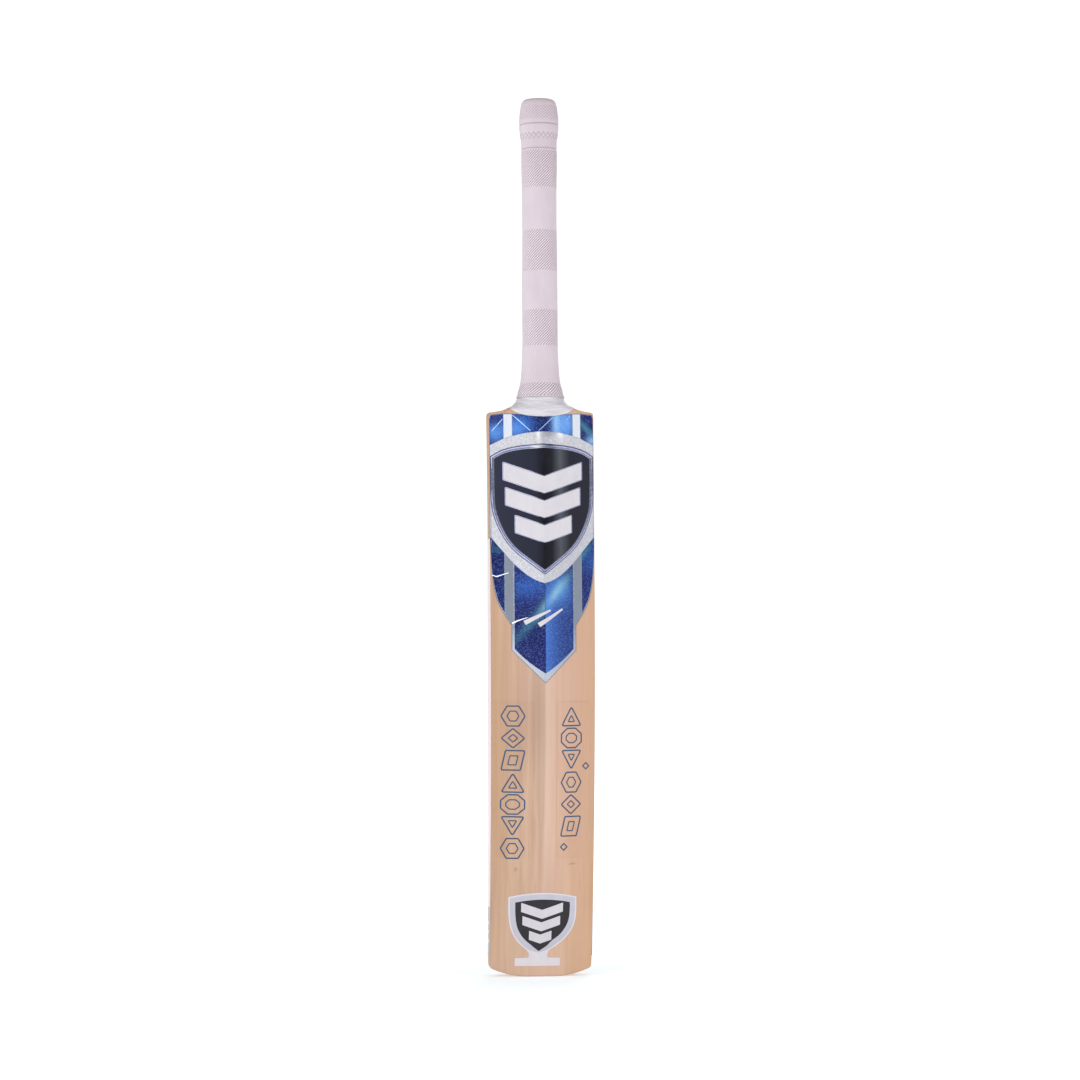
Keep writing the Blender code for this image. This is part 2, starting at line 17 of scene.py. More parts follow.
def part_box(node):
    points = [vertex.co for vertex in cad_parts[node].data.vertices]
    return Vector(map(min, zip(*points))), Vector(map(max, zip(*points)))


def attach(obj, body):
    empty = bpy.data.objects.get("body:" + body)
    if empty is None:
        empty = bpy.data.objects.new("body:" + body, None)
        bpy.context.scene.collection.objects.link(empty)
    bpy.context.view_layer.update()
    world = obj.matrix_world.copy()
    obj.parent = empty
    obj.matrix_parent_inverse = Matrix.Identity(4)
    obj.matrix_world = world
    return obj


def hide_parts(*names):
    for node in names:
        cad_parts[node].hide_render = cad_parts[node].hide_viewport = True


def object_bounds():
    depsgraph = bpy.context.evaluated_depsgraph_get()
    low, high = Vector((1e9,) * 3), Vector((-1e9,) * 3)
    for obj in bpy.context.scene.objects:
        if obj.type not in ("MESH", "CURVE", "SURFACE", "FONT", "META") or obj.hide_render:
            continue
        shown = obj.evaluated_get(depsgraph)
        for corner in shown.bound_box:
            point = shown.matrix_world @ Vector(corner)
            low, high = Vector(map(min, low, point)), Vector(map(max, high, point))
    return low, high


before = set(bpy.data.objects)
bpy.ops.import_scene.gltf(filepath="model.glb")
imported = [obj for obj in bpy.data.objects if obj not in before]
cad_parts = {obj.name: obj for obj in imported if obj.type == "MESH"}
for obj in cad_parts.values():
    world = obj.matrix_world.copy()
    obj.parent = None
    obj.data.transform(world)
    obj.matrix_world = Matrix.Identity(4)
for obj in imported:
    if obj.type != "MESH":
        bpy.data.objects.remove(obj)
cad_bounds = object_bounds()


def box_mm(node):
    """Lowest and highest corner of a CAD node, in millimetres."""
    low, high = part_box(node)
    return low * 1000, high * 1000


# ---------------------------------------------------------------- blade surface, as in the CAD model

SHOULDER_Z = 0.554
NECK_TOP_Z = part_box("blade")[1].z

HALF_WIDTH = ((0.0, 0.0498), (0.008, 0.0503), (0.025, 0.0505), (0.23, 0.0509), (0.41, 0.0513),
              (0.53, 0.0519), (0.55, 0.0521), (0.5525, 0.0516), (SHOULDER_Z, 0.05))
EDGE_THICKNESS = ((0.0, 0.023), (0.04, 0.0245), (0.1, 0.0285), (0.2, 0.0335), (0.26, 0.0345),
                  (0.35, 0.0325), (0.45, 0.027), (SHOULDER_Z, 0.023))
SPINE_HEIGHT = ((0.0, 0.0015), (0.03, 0.004), (0.08, 0.0105), (0.14, 0.0175), (0.22, 0.022),
                (0.3, 0.022), (0.4, 0.0205), (SHOULDER_Z, 0.02))
RIDGE_SOFTNESS = ((0.0, 0.8), (0.06, 0.5), (0.12, 0.16), (0.17, 0.07), (0.4, 0.06), (0.47, 0.18),
                  (SHOULDER_Z, 0.45))
BACK_HOLLOW = 1.12
FACE_BULGE = 0.0026
BOW = 0.0145
ARRIS_BACK = 0.002
ARRIS_FACE = 0.003
EDGE_BULGE = 0.0004

EDGE_TOP_Z = 0.55

TOE_FLAT = 0.012
TOE_RISE = 0.0085
TOE_BLEND_Z = 0.06
TOE_ROUND = ((0.0, 0.0011), (0.0005, 0.0005), (0.0015, 0.0))

NECK_HALF_WIDTH = ((0.0, 0.0500), (0.0004, 0.0465), (0.001, 0.0428), (0.0019, 0.0385), (0.003, 0.0350),
                   (0.0042, 0.0320), (0.006, 0.0280), (0.008, 0.0255), (0.0105, 0.0240), (0.0135, 0.0225),
                   (0.019, 0.0198), (0.028, 0.0176), (0.042, 0.0163))
NECK_BACK = ((0.0, 0.0235), (0.014, 0.0202), (0.028, 0.017), (0.042, 0.0153))
NECK_FACE = ((0.0, 0.0221), (0.014, 0.019), (0.028, 0.0168), (0.042, 0.0153))
NECK_ROUND_HEIGHT = 0.013

HANDLE_Y = -0.008
HANDLE_LEAN = math.atan(0.05)


def along(stations, position):
    """Value at a position on the smooth curve, free of overshoot, through (position, value) stations."""
    if position <= stations[0][0]:
        return stations[0][1]
    if position >= stations[-1][0]:
        return stations[-1][1]
    i = max(k for k in range(len(stations) - 1) if stations[k][0] <= position)

    def slope(k):
        return (stations[k + 1][1] - stations[k][1]) / (stations[k + 1][0] - stations[k][0])

    def tangent(k):
        if k == 0:
            return slope(0)
        if k == len(stations) - 1:
            return slope(k - 1)
        before, after = slope(k - 1), slope(k)
        return 0.0 if before * after <= 0 else 2 * before * after / (before + after)

    span = stations[i + 1][0] - stations[i][0]
    t = (position - stations[i][0]) / span
    return (
        stations[i][1] * (1 + 2 * t) * (1 - t) ** 2
        + tangent(i) * span * t * (1 - t) ** 2
        + stations[i + 1][1] * t * t * (3 - 2 * t)
        + tangent(i + 1) * span * t * t * (t - 1)
    )


def smoothstep(t):
    t = min(max(t, 0.0), 1.0)
    return t * t * (3 - 2 * t)


@functools.cache
def half_width(z):
    if z > SHOULDER_Z:
        return along(NECK_HALF_WIDTH, z - SHOULDER_Z)
    return along(HALF_WIDTH, z)


def edge_centre(z):
    half = SHOULDER_Z / 2
    return -BOW * (1 - ((z - half) / half) ** 2)


def axis_y(z):
    return HANDLE_Y + math.tan(HANDLE_LEAN) * (z - SHOULDER_Z)


@functools.cache
def level_sizes(level):
    """Half width, ridge softness, spine height, edge's back and edge's front at a height on the blade."""
    middle, depth = edge_centre(level), along(EDGE_THICKNESS, level) / 2
    half = along(HALF_WIDTH, min(level, EDGE_TOP_Z))
    return half, along(RIDGE_SOFTNESS, level), along(SPINE_HEIGHT, level), middle - depth, middle + depth


def drawn_in(y, z, neck):
    """Above the shoulders the surface is drawn in towards the handle's axis."""
    if z <= SHOULDER_Z:
        return y
    shrink = along(neck, z - SHOULDER_Z) / neck[0][1]
    return axis_y(z) + shrink * (y - HANDLE_Y)


def back_y(x, z):
    half, soft, spine, edge_back, _ = level_sizes(min(z, SHOULDER_Z))
    share = min(abs(x) / half, 1.0)
    fall = (math.hypot(share, soft) - soft) / (math.hypot(1, soft) - soft)
    return drawn_in(edge_back - spine * (1 - fall) ** BACK_HOLLOW, z, NECK_BACK)


def face_y(x, z):
    half, _, _, _, edge_front = level_sizes(min(z, SHOULDER_Z))
    share = min(abs(x) / half, 1.0)
    return drawn_in(edge_front + FACE_BULGE * (1 - share**2), z, NECK_FACE)


def toe_rise(x):
    outside = max(abs(x) - TOE_FLAT, 0) / (HALF_WIDTH[0][1] - TOE_FLAT)
    return TOE_RISE * outside**2


def toe_fade(z):
    return 1 - smoothstep(z / TOE_BLEND_Z)


def level_of(x, z, rounds=4):
    """Height of the section that the rising toe carries to a height z."""
    if z > TOE_BLEND_Z + 2 * TOE_RISE:
        return z
    level = z
    for _ in range(rounds):
        level = z - toe_rise(x) * toe_fade(level)
    return max(level, 0.0)


def handle_frame():
    """Matrix of the handle: origin on the shoulder line, Z along the handle."""
    return Matrix.Translation((0, HANDLE_Y, SHOULDER_Z)) @ Matrix.Rotation(-HANDLE_LEAN, 4, "X")


# Sheets: (u, v) in millimetres to a point, with u to the right and v up as seen from outside


def back_sheet(u, v):
    """The back, and over its arrises down to the edges."""
    x, z = u / 1000, v / 1000
    level = level_of(x, z)
    rim_x = half_width(level) - ARRIS_BACK
    if abs(x) <= rim_x:
        return Vector((x, back_y(x, level), z))
    sine = min((abs(x) - rim_x) / ARRIS_BACK, 1.0)
    drop = ARRIS_BACK * (1 - math.sqrt(1 - sine * sine))
    return Vector((x, back_y(rim_x, level) + drop, z))


def face_sheet(u, v):
    x, z = -u / 1000, v / 1000
    return Vector((x, face_y(x, level_of(x, z)), z))


def edge_span(z):
    """Middle of the edge between its arrises at a height, and half its depth there."""
    rim_x = half_width(z) - ARRIS_BACK
    low, high = back_y(rim_x, z) + ARRIS_BACK, face_y(rim_x, z) - ARRIS_FACE
    return (low + high) / 2, (high - low) / 2


def edge_sheet(side):
    """Sheet over the right edge (side 1) or the left edge (side -1); u runs from the edge's middle."""

    def point(u, v):
        z = v / 1000
        middle, reach = edge_span(z)
        y = middle + side * u / 1000
        bulge = EDGE_BULGE * (1 - min(abs(y - middle) / reach, 1.0) ** 2)
        return Vector((side * (half_width(z) + bulge), y, z))

    return point


def raised(surface, u, v, lift):
    """Point of a sheet, moved off it along its normal by a lift in millimetres."""
    reach = 0.05
    across = surface(u + reach, v) - surface(u - reach, v)
    up = surface(u, v + reach) - surface(u, v - reach)
    return surface(u, v) + across.cross(up).normalized() * (lift / 1000)


# ---------------------------------------------------------------- outlines

# Share of an inset that a moved point keeps from every side, unless it crossed a corner
CLEAR_SHARE = 0.97
# Least turn, in radians, that counts as a corner to round, and the most of a side that its arc takes
CORNER_TURN = 0.12
CORNER_SHARE = 0.45
LEAST_RADIUS = 0.1


def inwards(corners, inset):
    """Anticlockwise polygon with each side moved inwards by a distance."""
    corners = [Vector(c) for c in corners]
    count = len(corners)
    moved = []
    for i, here in enumerate(corners):
        a = (here - corners[i - 1]).normalized()
        b = (corners[(i + 1) % count] - here).normalized()
        normal_a, normal_b = Vector((-a.y, a.x)), Vector((-b.y, b.x))
        moved.append(here + (normal_a + normal_b) * (inset / max(1 + normal_a.dot(normal_b), 0.2)))
    return gathered(corners, moved, inset) if inset > 0 else moved


def clearances(points, corners):
    """Distance from each point to the nearest side of a polygon."""
    run = np.roll(corners, -1, axis=0) - corners
    away = points[:, None] - corners
    share = ((away * run).sum(axis=2) / (run**2).sum(axis=1)).clip(0, 1)
    return np.linalg.norm(away - share[..., None] * run, axis=2).min(axis=1)


def gathered(corners, moved, inset):
    """Points that crossed the other side of a corner as they moved inwards are gathered on that corner."""
    clear = clearances(np.array(moved), np.array(corners)) > CLEAR_SHARE * inset
    count, kept = len(moved), list(moved)
    for i in range(count):
        if not clear[i]:
            k = next(k for k in range(1, count // 2) if clear[i - k] or clear[(i + k) % count])
            kept[i] = moved[i - k] if clear[i - k] else moved[(i + k) % count]
    return kept


def shrunk(corners, inset):
    """Polygon moved inwards, with points that fell together counted once."""
    moved = inwards(corners, inset)
    return [p for i, p in enumerate(moved) if (p - moved[i - 1]).length > 0.01]


def turn_at(before, here, after):
    """Angle an outline turns through at a corner: positive to the left."""
    a, b = here - before, after - here
    return math.atan2(a.x * b.y - a.y * b.x, a.dot(b))


def rounded_corner(before, here, after, radius, inset, turns=5):
    """Points round a corner; outer corners tighten and inner corners widen as the outline moves inwards."""
    a, b = (here - before).normalized(), (after - here).normalized()
    turn = turn_at(before, here, after)
    true_radius = max(radius - math.copysign(inset, turn), LEAST_RADIUS)
    reach = true_radius * math.tan(abs(turn) / 2)
    reach = min(reach, CORNER_SHARE * (here - before).length, CORNER_SHARE * (after - here).length)
    start, end = here - a * reach, here + b * reach
    steps = [k / turns for k in range(turns + 1)]
    return [start * (1 - t) ** 2 + here * 2 * t * (1 - t) + end * t * t for t in steps]


def outline(corners, inset=0.0, radius=0.0, step=1.5):
    """Dense anticlockwise loop, with the same number of points for every inset."""
    corners = [Vector(c) for c in corners]
    count = len(corners)
    moved = inwards(corners, inset) if inset else corners
    arcs = []
    for i in range(count):
        sharp = abs(turn_at(corners[i - 1], corners[i], corners[(i + 1) % count])) > CORNER_TURN
        if radius and sharp:
            arcs.append(rounded_corner(moved[i - 1], moved[i], moved[(i + 1) % count], radius, inset))
        else:
            arcs.append([moved[i]])
    loop = []
    for i in range(count):
        pieces = max(1, round((corners[(i + 1) % count] - corners[i]).length / step))
        start, end = arcs[i][-1], arcs[(i + 1) % count][0]
        loop += arcs[i]
        loop += [start.lerp(end, k / pieces) for k in range(1, pieces)]
    return loop


def mirrored(right_half):
    """Anticlockwise polygon from its right half, listed upwards from the middle bottom."""
    return right_half + [(-x, z) for x, z in reversed(right_half) if x > 0]


def curve(points, steps=6):
    """Points along a smooth curve through a few points."""
    points = [Vector(p) for p in points]
    path = []
    for i in range(len(points) - 1):
        a, b = points[i], points[i + 1]
        before, after = points[max(i - 1, 0)], points[min(i + 2, len(points) - 1)]
        bend, twist = 2 * before - 5 * a + 4 * b - after, 3 * a - before - 3 * b + after
        for t in (k / steps for k in range(steps)):
            path.append(a + ((b - before) * t + bend * t**2 + twist * t**3) / 2)
    return [tuple(p) for p in path + [points[-1]]]


def flipped(corners):
    """The same polygon on the other side of the middle."""
    return [(-x, z) for x, z in reversed(corners)]


def bar(start, end, width, taper=1.0):
    """Polygon of a straight stroke; taper is the share of the width at its end."""
    start, end = Vector(start), Vector(end)
    ahead = (end - start).normalized()
    side = Vector((-ahead.y, ahead.x)) * width / 2
    return [start - side, end - side * taper, end + side * taper, start + side]


def regular(centre, sides, across, tall, turn=0.0):
    """Polygon with equal corners on an ellipse; turn is the first corner's angle in degrees."""
    angles = [math.radians(turn) + 2 * math.pi * k / sides for k in range(sides)]
    return [(centre[0] + across * math.cos(a), centre[1] + tall * math.sin(a)) for a in angles]


def even(start, end, steps):
    """Positions from a start to an end, both counted, in even steps."""
    return [start + (end - start) * k / steps for k in range(steps + 1)]


def graded(first, growth, widest, end):
    """Positions from 0 to an end, with spaces that grow from the first to the widest."""
    positions, step = [0.0], first
    while positions[-1] + step < end - first / 2:
        positions.append(positions[-1] + step)
        step = min(step * growth, widest)
    return positions + [end]


# Places of inner points on the back: close together at the ridge, wider apart towards the edges
RIDGE_COLUMNS = graded(0.6, 1.2, 2.2, 48.5) + [49.4, 50.1, 50.6]
RIDGE_COLUMNS = [-u for u in RIDGE_COLUMNS[:0:-1]] + RIDGE_COLUMNS


# ---------------------------------------------------------------- meshes on sheets

PIECE_SHARP = 35

# Lowest and highest face of each printed layer over the wood, in millimetres
FILM = (0.05, 0.28)
PRINT = (0.28, 0.38)
OVERPRINT = (0.38, 0.45)
GROUND = (0.28, 0.36)
STRIPES = (0.28, 0.35)
EDGE_LINE = (0.28, 0.34)
CREASE = (0.28, 0.55)
LABEL_PLATE = (0.28, 0.40)
LABEL_CHEVRON = (0.38, 0.48)
CLEAR_FILM = (0.05, 0.22)
DECAL_INK = (0.22, 0.28)


def fill(loop, columns, row_step, clearance=0.4):
    """Triangles inside a loop: points of the loop first, then inner points in columns."""
    edge = np.array(loop)
    ahead = np.roll(edge, -1, axis=0)
    low, high = edge.min(axis=0), edge.max(axis=0)
    rows = max(1, round((high[1] - low[1]) / row_step))
    heights = [low[1] + (high[1] - low[1]) * (r + 0.5) / rows for r in range(rows)]
    inner = np.array([(u, v) for u in columns if low[0] < u < high[0] for v in heights])
    if len(inner):
        x, y = inner[:, :1], inner[:, 1:]
        crosses = (edge[:, 1] > y) != (ahead[:, 1] > y)
        rise = np.where(ahead[:, 1] == edge[:, 1], 1.0, ahead[:, 1] - edge[:, 1])
        cut = edge[:, 0] + (y - edge[:, 1]) * (ahead[:, 0] - edge[:, 0]) / rise
        inside = (crosses & (x < cut)).sum(axis=1) % 2 == 1
        inner = inner[inside & (clearances(inner, edge) > clearance)]
    points = [Vector(p) for p in edge] + [Vector(p) for p in inner]
    sides = [(i, (i + 1) % len(loop)) for i in range(len(loop))]
    filled = delaunay_2d_cdt(points, sides, [], 1, 1e-5)
    if len(filled[0]) != len(points):
        raise ValueError(f"an outline crosses itself: {len(points)} points became {len(filled[0])}")
    return points, [tuple(face) for face in filled[2]]


def wall(first, second):
    """Quads between two loops of vertex numbers."""
    count = len(first)
    return [(first[i], first[(i + 1) % count], second[(i + 1) % count], second[i]) for i in range(count)]


def sheet(surface, corners, low, high, radius=0.0, bevel=0.0, step=1.5, columns=None, rows=2.5):
    """Closed mesh between two lifts over an outline on a surface, with its upper edge bevelled."""
    outer = outline(corners, 0, radius, step)
    top = outline(corners, bevel, radius, step) if bevel else outer
    points, faces = fill(top, RIDGE_COLUMNS if columns is None else columns, rows)
    size, count = len(points), len(outer)
    vertices = [raised(surface, p.x, p.y, high) for p in points]
    vertices += [raised(surface, p.x, p.y, low) for p in points]
    faces = faces + [tuple(size + i for i in reversed(face)) for face in faces]
    rings = [list(range(count))]
    if bevel:
        for lift in (high - bevel, low):
            rings.append([len(vertices) + i for i in range(count)])
            vertices += [raised(surface, p.x, p.y, lift) for p in outer]
    rings.append([size + i for i in range(count)])
    for first, second in zip(rings, rings[1:]):
        faces += wall(second, first)
    return vertices, faces


def rings_mesh(rings, closed=False):
    """Skin over successive rings of one size, capped at both ends unless it closes on itself."""
    size, count = len(rings[0]), len(rings)
    numbers = [list(range(r * size, (r + 1) * size)) for r in range(count)]
    faces = []
    after = numbers[1:] + numbers[:1] if closed else numbers[1:]
    for first, second in zip(numbers, after):
        faces += wall(first, second)
    if not closed:
        faces += [tuple(numbers[0]), tuple(numbers[-1])]
    return [v for ring in rings for v in ring], faces


def rim(surface, corners, section, radius=0.0, step=1.5):
    """Closed band along an outline, with its section listed as (inset, lift) all the way round."""
    rings = []
    for inset, lift in section:
        rings.append([raised(surface, p.x, p.y, lift) for p in outline(corners, inset, radius, step)])
    return rings_mesh(rings, closed=True)


def stroke(surface, corners, width, low, high, radius=0.0, step=1.2):
    """Printed line of an even width just inside an outline."""
    return rim(surface, corners, [(0, low), (0, high), (width, high), (width, low)], radius, step)


def joined(meshes):
    vertices, faces = [], []
    for more_vertices, more_faces in meshes:
        faces += [tuple(len(vertices) + i for i in face) for face in more_faces]
        vertices += more_vertices
    return vertices, faces


def cleaned(data, weld=0.0):
    """Makes points closer than the weld one, and turns the normals outwards."""
    shell = bmesh.new()
    shell.from_mesh(data)
    if weld:
        bmesh.ops.remove_doubles(shell, verts=shell.verts, dist=weld)
    bmesh.ops.recalc_face_normals(shell, faces=shell.faces)
    shell.to_mesh(data)
    shell.free()


def shaded(data, sharp):
    """Smooth, but for edges that turn more than an angle in degrees."""
    data.shade_smooth()
    data.set_sharp_from_angle(angle=math.radians(sharp))


def piece(name, mesh, finish, replaces=(), sharp=PIECE_SHARP):
    """Visible piece on the bat, made from (vertices, faces)."""
    data = bpy.data.meshes.new(name)
    data.from_pydata([tuple(v) for v in mesh[0]], [], mesh[1])
    cleaned(data)
    shaded(data, sharp)
    data.materials.append(finishes[finish])
    made = bpy.data.objects.new(name, data)
    bpy.context.scene.collection.objects.link(made)
    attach(made, "root")
    if replaces:
        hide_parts(*replaces)
    return made


def laid(name, shapes, lifts, finish, slot, replaces=(), surface=back_sheet, **options):
    """Flat shapes on a surface, between two lifts, as one piece."""
    meshes = [sheet(surface, shape, *lifts, **options) for shape in shapes]
    piece(name, joined(meshes), finish, replaces)


# ---------------------------------------------------------------- finishes

finishes = {}


def linear(byte):
    c = byte / 255
    return c / 12.92 if c <= 0.04045 else ((c + 0.055) / 1.055) ** 2.4


def colour(shade):
    """Linear colour of a shade that is given as red, green and blue from 0 to 255."""
    return (*(linear(byte) for byte in shade), 1.0)


class Finish:
    """Procedural material: a Principled shader and short helpers for the nodes that feed it."""

    def __init__(self, name):
        self.material = finishes[name] = bpy.data.materials.new(name)
        self.material.use_nodes = True
        self.nodes = self.material.node_tree.nodes
        self.place = self.nodes.new("ShaderNodeTexCoord").outputs["Object"]
        self.x, _, self.z = self.add("ShaderNodeSeparateXYZ", self.place).outputs

    def feed(self, socket, value):
        if isinstance(value, bpy.types.NodeSocket):
            self.material.node_tree.links.new(value, socket)
        elif socket.type == "RGBA" and len(value) == 3:
            socket.default_value = colour(value)
        else:
            socket.default_value = value

    def add(self, kind, *values, **settings):
        """New node with its settings, and its first inputs fed in order."""
        node = self.nodes.new(kind)
        for key, value in settings.items():
            setattr(node, key, value)
        for socket, value in zip(node.inputs, values):
            self.feed(socket, value)
        return node

    def add_named(self, kind, **values):
        """New node with some inputs fed by name."""
        node = self.nodes.new(kind)
        for key, value in values.items():
            self.feed(node.inputs[key], value)
        return node

    def math(self, operation, *values):
        return self.add("ShaderNodeMath", *values, operation=operation).outputs[0]

    def times(self, product, *factors):
        for factor in factors:
            product = self.math("MULTIPLY", product, factor)
        return product

    def wave(self, value, pitch):
        return self.math("SINE", self.times(value, 2 * math.pi / pitch))

    def scaled(self, per_metre):
        return self.add("ShaderNodeVectorMath", self.place, per_metre, operation="MULTIPLY").outputs[0]

    def noise(self, per_metre, detail=2.0, roughness=0.5, distortion=0.0):
        """Cloudy value from 0 to 1, with a number of clouds per metre along each axis."""
        node = self.add_named("ShaderNodeTexNoise", Vector=self.scaled(per_metre), Scale=1.0, Detail=detail,
                              Roughness=roughness, Distortion=distortion)
        return node.outputs["Fac"]

    def flakes(self):
        """Random value from 0 to 1 for each glitter flake."""
        node = self.add_named("ShaderNodeTexVoronoi", Vector=self.scaled((1300, 1300, 1300)), Scale=1.0)
        return self.add("ShaderNodeSeparateColor", node.outputs["Color"]).outputs[0]

    def spread(self, value, low, high, to_low=0.0, to_high=1.0):
        """Value moved from one range to another and held inside it."""
        return self.add("ShaderNodeMapRange", value, low, high, to_low, to_high, clamp=True).outputs[0]

    def mix(self, share, first, second, blend="MIX"):
        node = self.add("ShaderNodeMix", data_type="RGBA", blend_type=blend, clamp_factor=True)
        for socket, value in ((0, share), (6, first), (7, second)):
            self.feed(node.inputs[socket], value)
        return node.outputs[2]

    def tint(self, base, shade, value, low, high, strength=1.0):
        """Base with a shade over it, which gains strength as a value goes from low to high."""
        return self.mix(self.spread(value, low, high, 0.0, strength), base, shade)

    def folded(self, base, shade, strength):
        """Base with a thin line of a shade along the ridge."""
        return self.tint(base, shade, self.math("ABSOLUTE", self.x), 0.0009, 0.0002, strength)

    def ramp(self, value, stops):
        node = self.nodes.new("ShaderNodeValToRGB")
        self.feed(node.inputs[0], value)
        marks = node.color_ramp.elements
        while len(marks) < len(stops):
            marks.new(0.5)
        for mark, (position, shade) in zip(marks, stops):
            mark.position = position
            mark.color = colour(shade)
        return node.outputs["Color"]

    def across(self, stops):
        """Shades from the left edge to the right one, given at x in millimetres."""
        reach = 0.052
        stops = [(0.5 + x / 2000 / reach, shade) for x, shade in stops]
        return self.ramp(self.spread(self.x, -reach, reach), stops)

    def spot(self, centre, size, turn):
        """Soft spot in X and Z: 1 in its middle, falling off over a size (millimetres) at an angle."""
        right = self.math("SUBTRACT", self.x, centre[0] / 1000)
        up = self.math("SUBTRACT", self.z, centre[1] / 1000)
        c, s = math.cos(math.radians(turn)), math.sin(math.radians(turn))
        first = self.math("ADD", self.times(right, c), self.times(up, s))
        second = self.math("SUBTRACT", self.times(up, c), self.times(right, s))
        first, second = self.times(first, 1000 / size[0]), self.times(second, 1000 / size[1])
        square = self.math("ADD", self.times(first, first), self.times(second, second))
        return self.math("EXPONENT", self.times(square, -1.0))

    def spots(self, base, marks, mask=1.0):
        """Base with soft spots over it: (middle x, z), (length, width), angle, shade, strength."""
        for centre, size, turn, shade, strength in marks:
            base = self.mix(self.times(self.spot(centre, size, turn), strength, mask), base, shade)
        return base

    def surface(self, base, roughness, height, distance, strength=1.0, metallic=0.0, specular=0.5):
        """The shader's inputs, with bumps of a height and a greatest distance in metres."""
        bumps = self.add_named("ShaderNodeBump", Height=height, Distance=distance, Strength=strength)
        look = {"Base Color": base, "Roughness": roughness, "Metallic": metallic,
                "Specular IOR Level": specular, "Normal": bumps.outputs["Normal"]}
        for key, value in look.items():
            self.feed(self.nodes["Principled BSDF"].inputs[key], value)


# The wood's tone from the left edge to the right one, with painted shade just left of the ridge and a
# painted highlight just right of it; and the same tone near the toe without them, where the ridge's painted
# light fades out
TONE_AND_RIDGE_SHADING = (
    (-50, (222, 213, 207)), (-30, (227, 218, 214)), (-14, (231, 225, 228)), (-1.2, (224, 218, 221)),
    (0.4, (243, 240, 243)), (12, (241, 237, 240)), (20, (237, 232, 234)), (50, (235, 229, 223)),
)
TOE_CAST = ((-50, (222, 213, 207)), (-14, (231, 225, 226)), (14, (239, 234, 234)), (50, (238, 230, 216)))

# Spots on the back's wood: a painted highlight right of the ridge, painted shade left of it, a darker patch
# on the left flank and a lighter one on the right, a light streak and small dark marks: (middle x, z),
# (length, width), angle, shade, strength
WOOD_MARKS_AND_PAINTED_LIGHT = (
    ((3, 250), (7, 400), 0, (232, 204, 184), 0.3),
    ((28, 112), (3.6, 0.9), 6, (170, 126, 90), 0.6),
    ((24, 100), (3.2, 30), 2, (240, 204, 172), 0.4),
    ((-9, 258), (13, 52), 0, (180, 148, 128), 0.4),
    ((-30, 235), (9, 60), 3, (184, 150, 128), 0.2),
    ((24, 190), (10, 55), -3, (236, 190, 150), 0.25),
    ((-27, 107), (1.6, 2.0), 0, (170, 120, 90), 0.45),
)


def willow_finish(name, film=(255, 255, 255), gloss=0.0):
    """Pale willow: straight grain, faint broad bands, a few marks, painted highlight and shade at the ridge,
    painted light on the toe, darker end grain with painted shade under the toe; a film can cover it.
    """
    f = Finish(name)
    lines = f.noise((900, 260, 7), 3.0, 0.6)
    rings = f.noise((150, 60, 2.2), 2.0, 0.5, 0.6)
    wood = f.ramp(rings, ((0.3, (214, 176, 145)), (0.5, (225, 190, 160)), (0.7, (232, 200, 172))))
    wood = f.tint(wood, (218, 172, 130), f.noise((42, 20, 1.2), 1.0, 0.4), 0.5, 0.72, 0.55)
    wood = f.tint(wood, (226, 186, 168), f.noise((34, 20, 1.6), 1.0, 0.4), 0.48, 0.7, 0.55)
    wood = f.tint(wood, (196, 152, 116), lines, 0.52, 0.75, 0.28)
    wood = f.tint(wood, (214, 168, 128), f.x, 0.028, 0.05, 0.45)
    _, backwards, upwards = f.add(
        "ShaderNodeSeparateXYZ", f.nodes.new("ShaderNodeNewGeometry").outputs["Normal"]
    ).outputs
    on_back = f.spread(backwards, 0.1, -0.3)
    # Marks, a painted highlight and painted shade beside the ridge, and darker and lighter patches on the
    # flanks
    wood = f.spots(wood, WOOD_MARKS_AND_PAINTED_LIGHT, on_back)
    # Painted light: the lower toe lighter, more on the left than on the right
    toe_painted_light = f.times(f.spread(f.z, 0.02, 0.075, 0.5, 0.0), f.spread(f.x, -0.01, 0.03, 1.0, 0.3))
    wood = f.mix(toe_painted_light, wood, (246, 212, 184))
    # Darker where the surface faces down: the end grain of the sole, and painted shade under the toe
    wood = f.tint(wood, (190, 146, 112), upwards, -0.45, -0.9, 0.75)
    # Painted shade just left of the ridge and a painted highlight just right of it, which fade out near the
    # toe
    cast = f.mix(f.spread(f.z, 0.085, 0.145), f.across(TOE_CAST), f.across(TONE_AND_RIDGE_SHADING))
    cast = f.mix(on_back, (228, 225, 226), cast)
    wood = f.mix(1.0, wood, cast, "MULTIPLY")
    wood = f.mix(1.0, wood, film, "MULTIPLY")
    f.surface(wood, f.spread(lines, 0.3, 0.7, 0.5 - gloss, 0.62 - gloss), lines, 0.00012, 0.5)


def cane_finish(name):
    f = Finish(name)
    fibres = f.noise((1600, 1600, 12), 3.0, 0.6)
    cane = f.ramp(fibres, ((0.3, (178, 138, 88)), (0.55, (205, 168, 116)), (0.75, (222, 190, 142))))
    cane = f.tint(cane, (140, 102, 62), f.noise((500, 500, 30), 1.0), 0.6, 0.72, 0.5)
    f.surface(cane, f.spread(fibres, 0.3, 0.7, 0.55, 0.7), fibres, 0.0002, 0.6)


def spring_finish(name):
    f = Finish(name)
    grain = f.noise((900, 900, 900), 3.0)
    f.surface(f.mix(grain, (34, 32, 32), (58, 55, 54)), f.spread(grain, 0.3, 0.7, 0.7, 0.9), grain, 0.0001)


def twine_finish(name):
    """Thread wound in close turns."""
    f = Finish(name)
    turns = f.wave(f.z, 0.0008)
    fibres = f.noise((1800, 1800, 5000), 2.0)
    thread = f.mix(f.spread(turns, -1, 1), (150, 134, 100), (214, 198, 160))
    thread = f.mix(f.times(fibres, 0.4), thread, (180, 162, 124))
    f.surface(thread, 0.85, f.math("ADD", turns, fibres), 0.0002)


